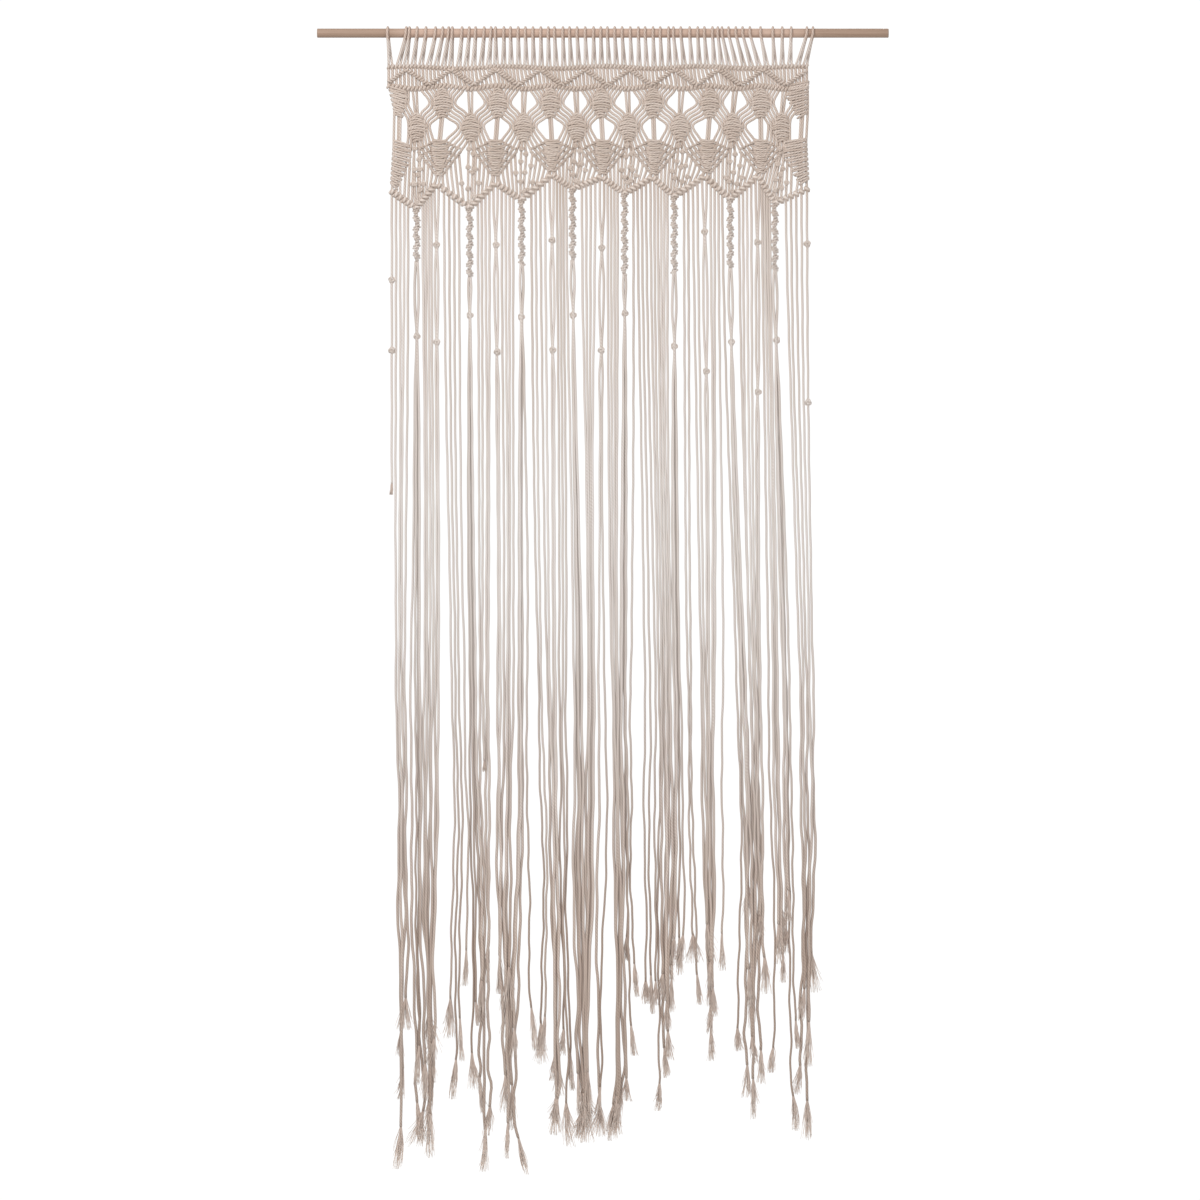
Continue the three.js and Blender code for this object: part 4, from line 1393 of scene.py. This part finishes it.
slack = np.where(hangs_alone, THIN_ALONE, LOOSE_IN_CLUMP)[:, None]
fringe_radius = FRINGE_RADIUS + THICKER_TOP * smooth_step(*TOP_STRETCH, below_rod)
fringe_radius = fringe_radius + slack * smooth_step(*LOWER_HALF, below_rod)
halves = {"fringe_left": slice(0, STRANDS // 2), "fringe_right": slice(STRANDS // 2, STRANDS)}
for half_name, half in halves.items():
    darker = ALONE_DARKER * hangs_alone[half]
    cord_piece(half_name, fringe_paths[half], fringe_radius[half], ALONG_ROD, "fringe", darker=darker)

# %% [markdown]
# Knots on the fringe
#
# The knots sit where their pair of strands has come together, so their places are read off the paths just
# laid: at the step nearest to the knot's height, in the middle of the two strands. Each pair is tied once.

# %% Tie the knots on the fringe
FRINGE_KNOT_RADIUS = 2.15
FRINGE_KNOT_DARKER = 0.7

tied, which = np.nonzero((knot_heights < 0) & (is_seam_filler | is_repeat_filler)[:, None])
nearest = np.abs(z[tied] - knot_heights[tied, which][:, None]).argmin(axis=1)
knot_places = (fringe_paths[tied, nearest] + fringe_paths[mate[tied], nearest]) / 2
knot_places[:, 2] = knot_heights[tied, which]
once = tied <= mate[tied]
fringe_knots = overhand(knot_places[once], ring=3.1, swing=1.8, steps=40)
knot_look = dict(closed=True, darker=FRINGE_KNOT_DARKER)
cord_piece("fringe_knots", fringe_knots, FRINGE_KNOT_RADIUS, DEPTH, "fringe", **knot_look)

# %% [markdown]
# Frayed ends
#
# Every strand ends in a brush of loose cotton. Its yarns leave the cord in a tight bundle, stay with their
# ply for a while, crinkle and flare out. Each yarn is a three sided tube that gets thinner, and its path is
# the cord's last direction plus a sideways reach that grows with the way down. Some brushes draw in again at
# the tip, and those of the two broken strands hardly open.

# %% Fray the ends
YARNS = 44
YARN_STEPS = 7
YARN_SIDES = 3
END_STEPS = 3
INSIDE_CORD = 4
FLATTER = 0.6
FLARES = (5.0, 12.0)
BROKEN_FLARE = 1.5
OPENING = 1.3
PARTINGS = [0.1, 0.3, 0.9]
DRAW_INS = [0.0, 0.2, 0.5]
TUFT_SWING = 4
STRAY_REACH = 1.6
SHORTER = 0.5
CRINKLE = 1.3
CRINKLE_WAVES = 8
THINNER_OUTSIDE = 0.2
THINNER_TIP = 0.6

per_tuft = (STRANDS, 1, 1, 1)
per_yarn = (STRANDS, YARNS, 1, 1)
s = np.linspace(0, 1, YARN_STEPS)[None, None, :, None]


def sideways(angle):
    """A direction square to the hanging cord, flatter from front to back than from left to right."""
    angle = angle[..., None, None]
    return np.cos(angle) * ALONG_ROD + FLATTER * np.sin(angle) * DEPTH


def any_angle(yarns=YARNS):
    """An angle by chance for every yarn of every tuft."""
    return chance.uniform(0, FULL_TURN, (STRANDS, yarns))


cord_end = fringe_paths[:, -1][:, None, None]
tuft_heading = unit(fringe_paths[:, -1] - fringe_paths[:, -1 - END_STEPS])[:, None, None]
flare = chance.uniform(*FLARES, per_tuft)
flare[list(BROKEN)] = BROKEN_FLARE
parting = chance.choice(PARTINGS, per_tuft)
draw_in = chance.choice(DRAW_INS, per_tuft)
swing = chance.normal(0, TUFT_SWING, per_tuft) * s**2 * ALONG_ROD
ply_way = sideways(FULL_TURN * (np.arange(YARNS) % PLIES) / PLIES + any_angle(1))
own_share = np.sqrt(chance.random(per_yarn))
own_way = own_share * sideways(any_angle())
stray = chance.exponential(STRAY_REACH, per_yarn) * sideways(any_angle())
tuft_run = tuft_length[:, None, None, None] + INSIDE_CORD
yarn_length = tuft_run * (1 - SHORTER * chance.random(per_yarn) ** 2)
opening = flare * s**OPENING * (1 - draw_in * s**2)
yarn_reach = own_way + opening * (parting * ply_way + own_way) + s**3 * stray
crinkle_way = sideways(any_angle())
crinkle = CRINKLE * s * np.sin(CRINKLE_WAVES * s + chance.uniform(0, FULL_TURN, per_yarn)) * crinkle_way
yarns = cord_end + (yarn_length * s - INSIDE_CORD) * tuft_heading + swing + yarn_reach + crinkle
yarn_radius = (1 - THINNER_OUTSIDE * own_share) * (1 - THINNER_TIP * s)
yarn_paths = yarns.reshape(-1, YARN_STEPS, 3)
yarn_tubes = carry_circle(yarn_paths, yarn_radius.reshape(-1, YARN_STEPS), YARN_SIDES, ALONG_ROD)
make_piece("frayed_ends", yarn_tubes, loose_cotton, "fringe")

# %% [markdown]
# Floor
#
# The curtain hangs in front of plain white. A pale floor lies below it, out of the picture, and fades out
# towards its rim so that no edge shows from other sides.

# %% Lay the floor
FLOOR_RADIUS = 1.7
FLOOR_Z = -2.25
FLOOR_FADES = 0.4
RIM_CORNERS = 96
PALE_FLOOR = (paint(250, 249, 247), paint(244, 243, 241))

rim = once_round(RIM_CORNERS)
rim_points = np.stack([FLOOR_RADIUS * np.cos(rim), FLOOR_RADIUS * np.sin(rim), FLOOR_Z + 0 * rim], axis=-1)
floor_mesh = bpy.data.meshes.new("pale_floor")
floor_mesh.from_pydata(rim_points.tolist(), [], [list(range(RIM_CORNERS))])
pale_floor = bpy.data.objects.new("pale_floor", floor_mesh)
bpy.context.scene.collection.objects.link(pale_floor)
floor_finish, wire, spot = start_finish("pale_floor")
flat_spot = wire.node("ShaderNodeVectorMath", {"operation": "MULTIPLY"}, {0: spot, 1: (1, 1, 0)})
close_finish(floor_finish, wire, {
    "Base Color": spot.noise(scale=6.0).mix(*PALE_FLOOR),
    "Roughness": 0.9,
    "Alpha": flat_spot.length().rise(FLOOR_RADIUS, FLOOR_FADES * FLOOR_RADIUS),
})
floor_mesh.materials.append(floor_finish)

# %% [markdown]
# Light
#
# The room's white is seen by the camera, but lights the cord less than it shows, so that the lamps can model
# the knots: one large soft lamp high in front on the left, a weaker one on the right and one behind.

# %% Light the room
ROOM_LIGHT = 0.55
SEEN_EXTRA = 0.5
WHITE = (1, 1, 1, 1)

room = bpy.data.worlds.new("white_room")
bpy.context.scene.world = room
room.use_nodes = True
room.node_tree.nodes.clear()
wire = Wire(room.node_tree)
seen = wire.node("ShaderNodeLightPath", {}, {}, "Is Camera Ray")
room_sockets = {"Color": WHITE, "Strength": ROOM_LIGHT + seen * SEEN_EXTRA}
room_light = wire.node("ShaderNodeBackground", {}, room_sockets)
wire.node("ShaderNodeOutputWorld", {}, {"Surface": room_light})


def soft_lamp(name, stand, target, size, power):
    """A square lamp that faces a target."""
    lamp = bpy.data.lights.new(name, "AREA")
    lamp.size = size
    lamp.energy = power
    made = bpy.data.objects.new(name, lamp)
    made.location = stand
    made.rotation_euler = (Vector(target) - Vector(stand)).to_track_quat("-Z", "Y").to_euler()
    bpy.context.scene.collection.objects.link(made)
    print(name, "gives", power, "W")


soft_lamp("key_lamp", stand=(-1.6, -2.6, 1.5), target=(0, 0, -0.7), size=1.6, power=75)
soft_lamp("fill_lamp", stand=(2.2, -2.8, -0.2), target=(0, 0, -0.9), size=2.0, power=22)
soft_lamp("back_lamp", stand=(1.4, 2.8, 1.0), target=(0, 0, -0.8), size=2.0, power=50)

# %% [markdown]
# Camera
#
# The camera looks straight along the depth from far away, so that the rod and the ends of the fringe are both
# seen from the front. Its frame is 2.1 m wide at the curtain.

# %% Set the camera
FRAME_WIDTH = 2.1
FRAME_MIDDLE = (-0.005, -0.992)
CAMERA_DISTANCE = 9.0
SENSOR_WIDTH = 36

camera_data = bpy.data.cameras.new("camera")
camera_data.sensor_width = SENSOR_WIDTH
camera_data.lens = SENSOR_WIDTH * CAMERA_DISTANCE / FRAME_WIDTH
camera = bpy.data.objects.new("camera", camera_data)
camera.location = (FRAME_MIDDLE[0], -CAMERA_DISTANCE, FRAME_MIDDLE[1])
camera.rotation_euler = (np.pi / 2, 0, 0)
bpy.context.scene.collection.objects.link(camera)
bpy.context.scene.camera = camera
bpy.context.scene.view_settings.view_transform = "Standard"
print("camera lens", round(camera_data.lens, 1), "mm")

# %% [markdown]
# The dressed curtain has to stay in the box of its solids, apart from a little fluff.
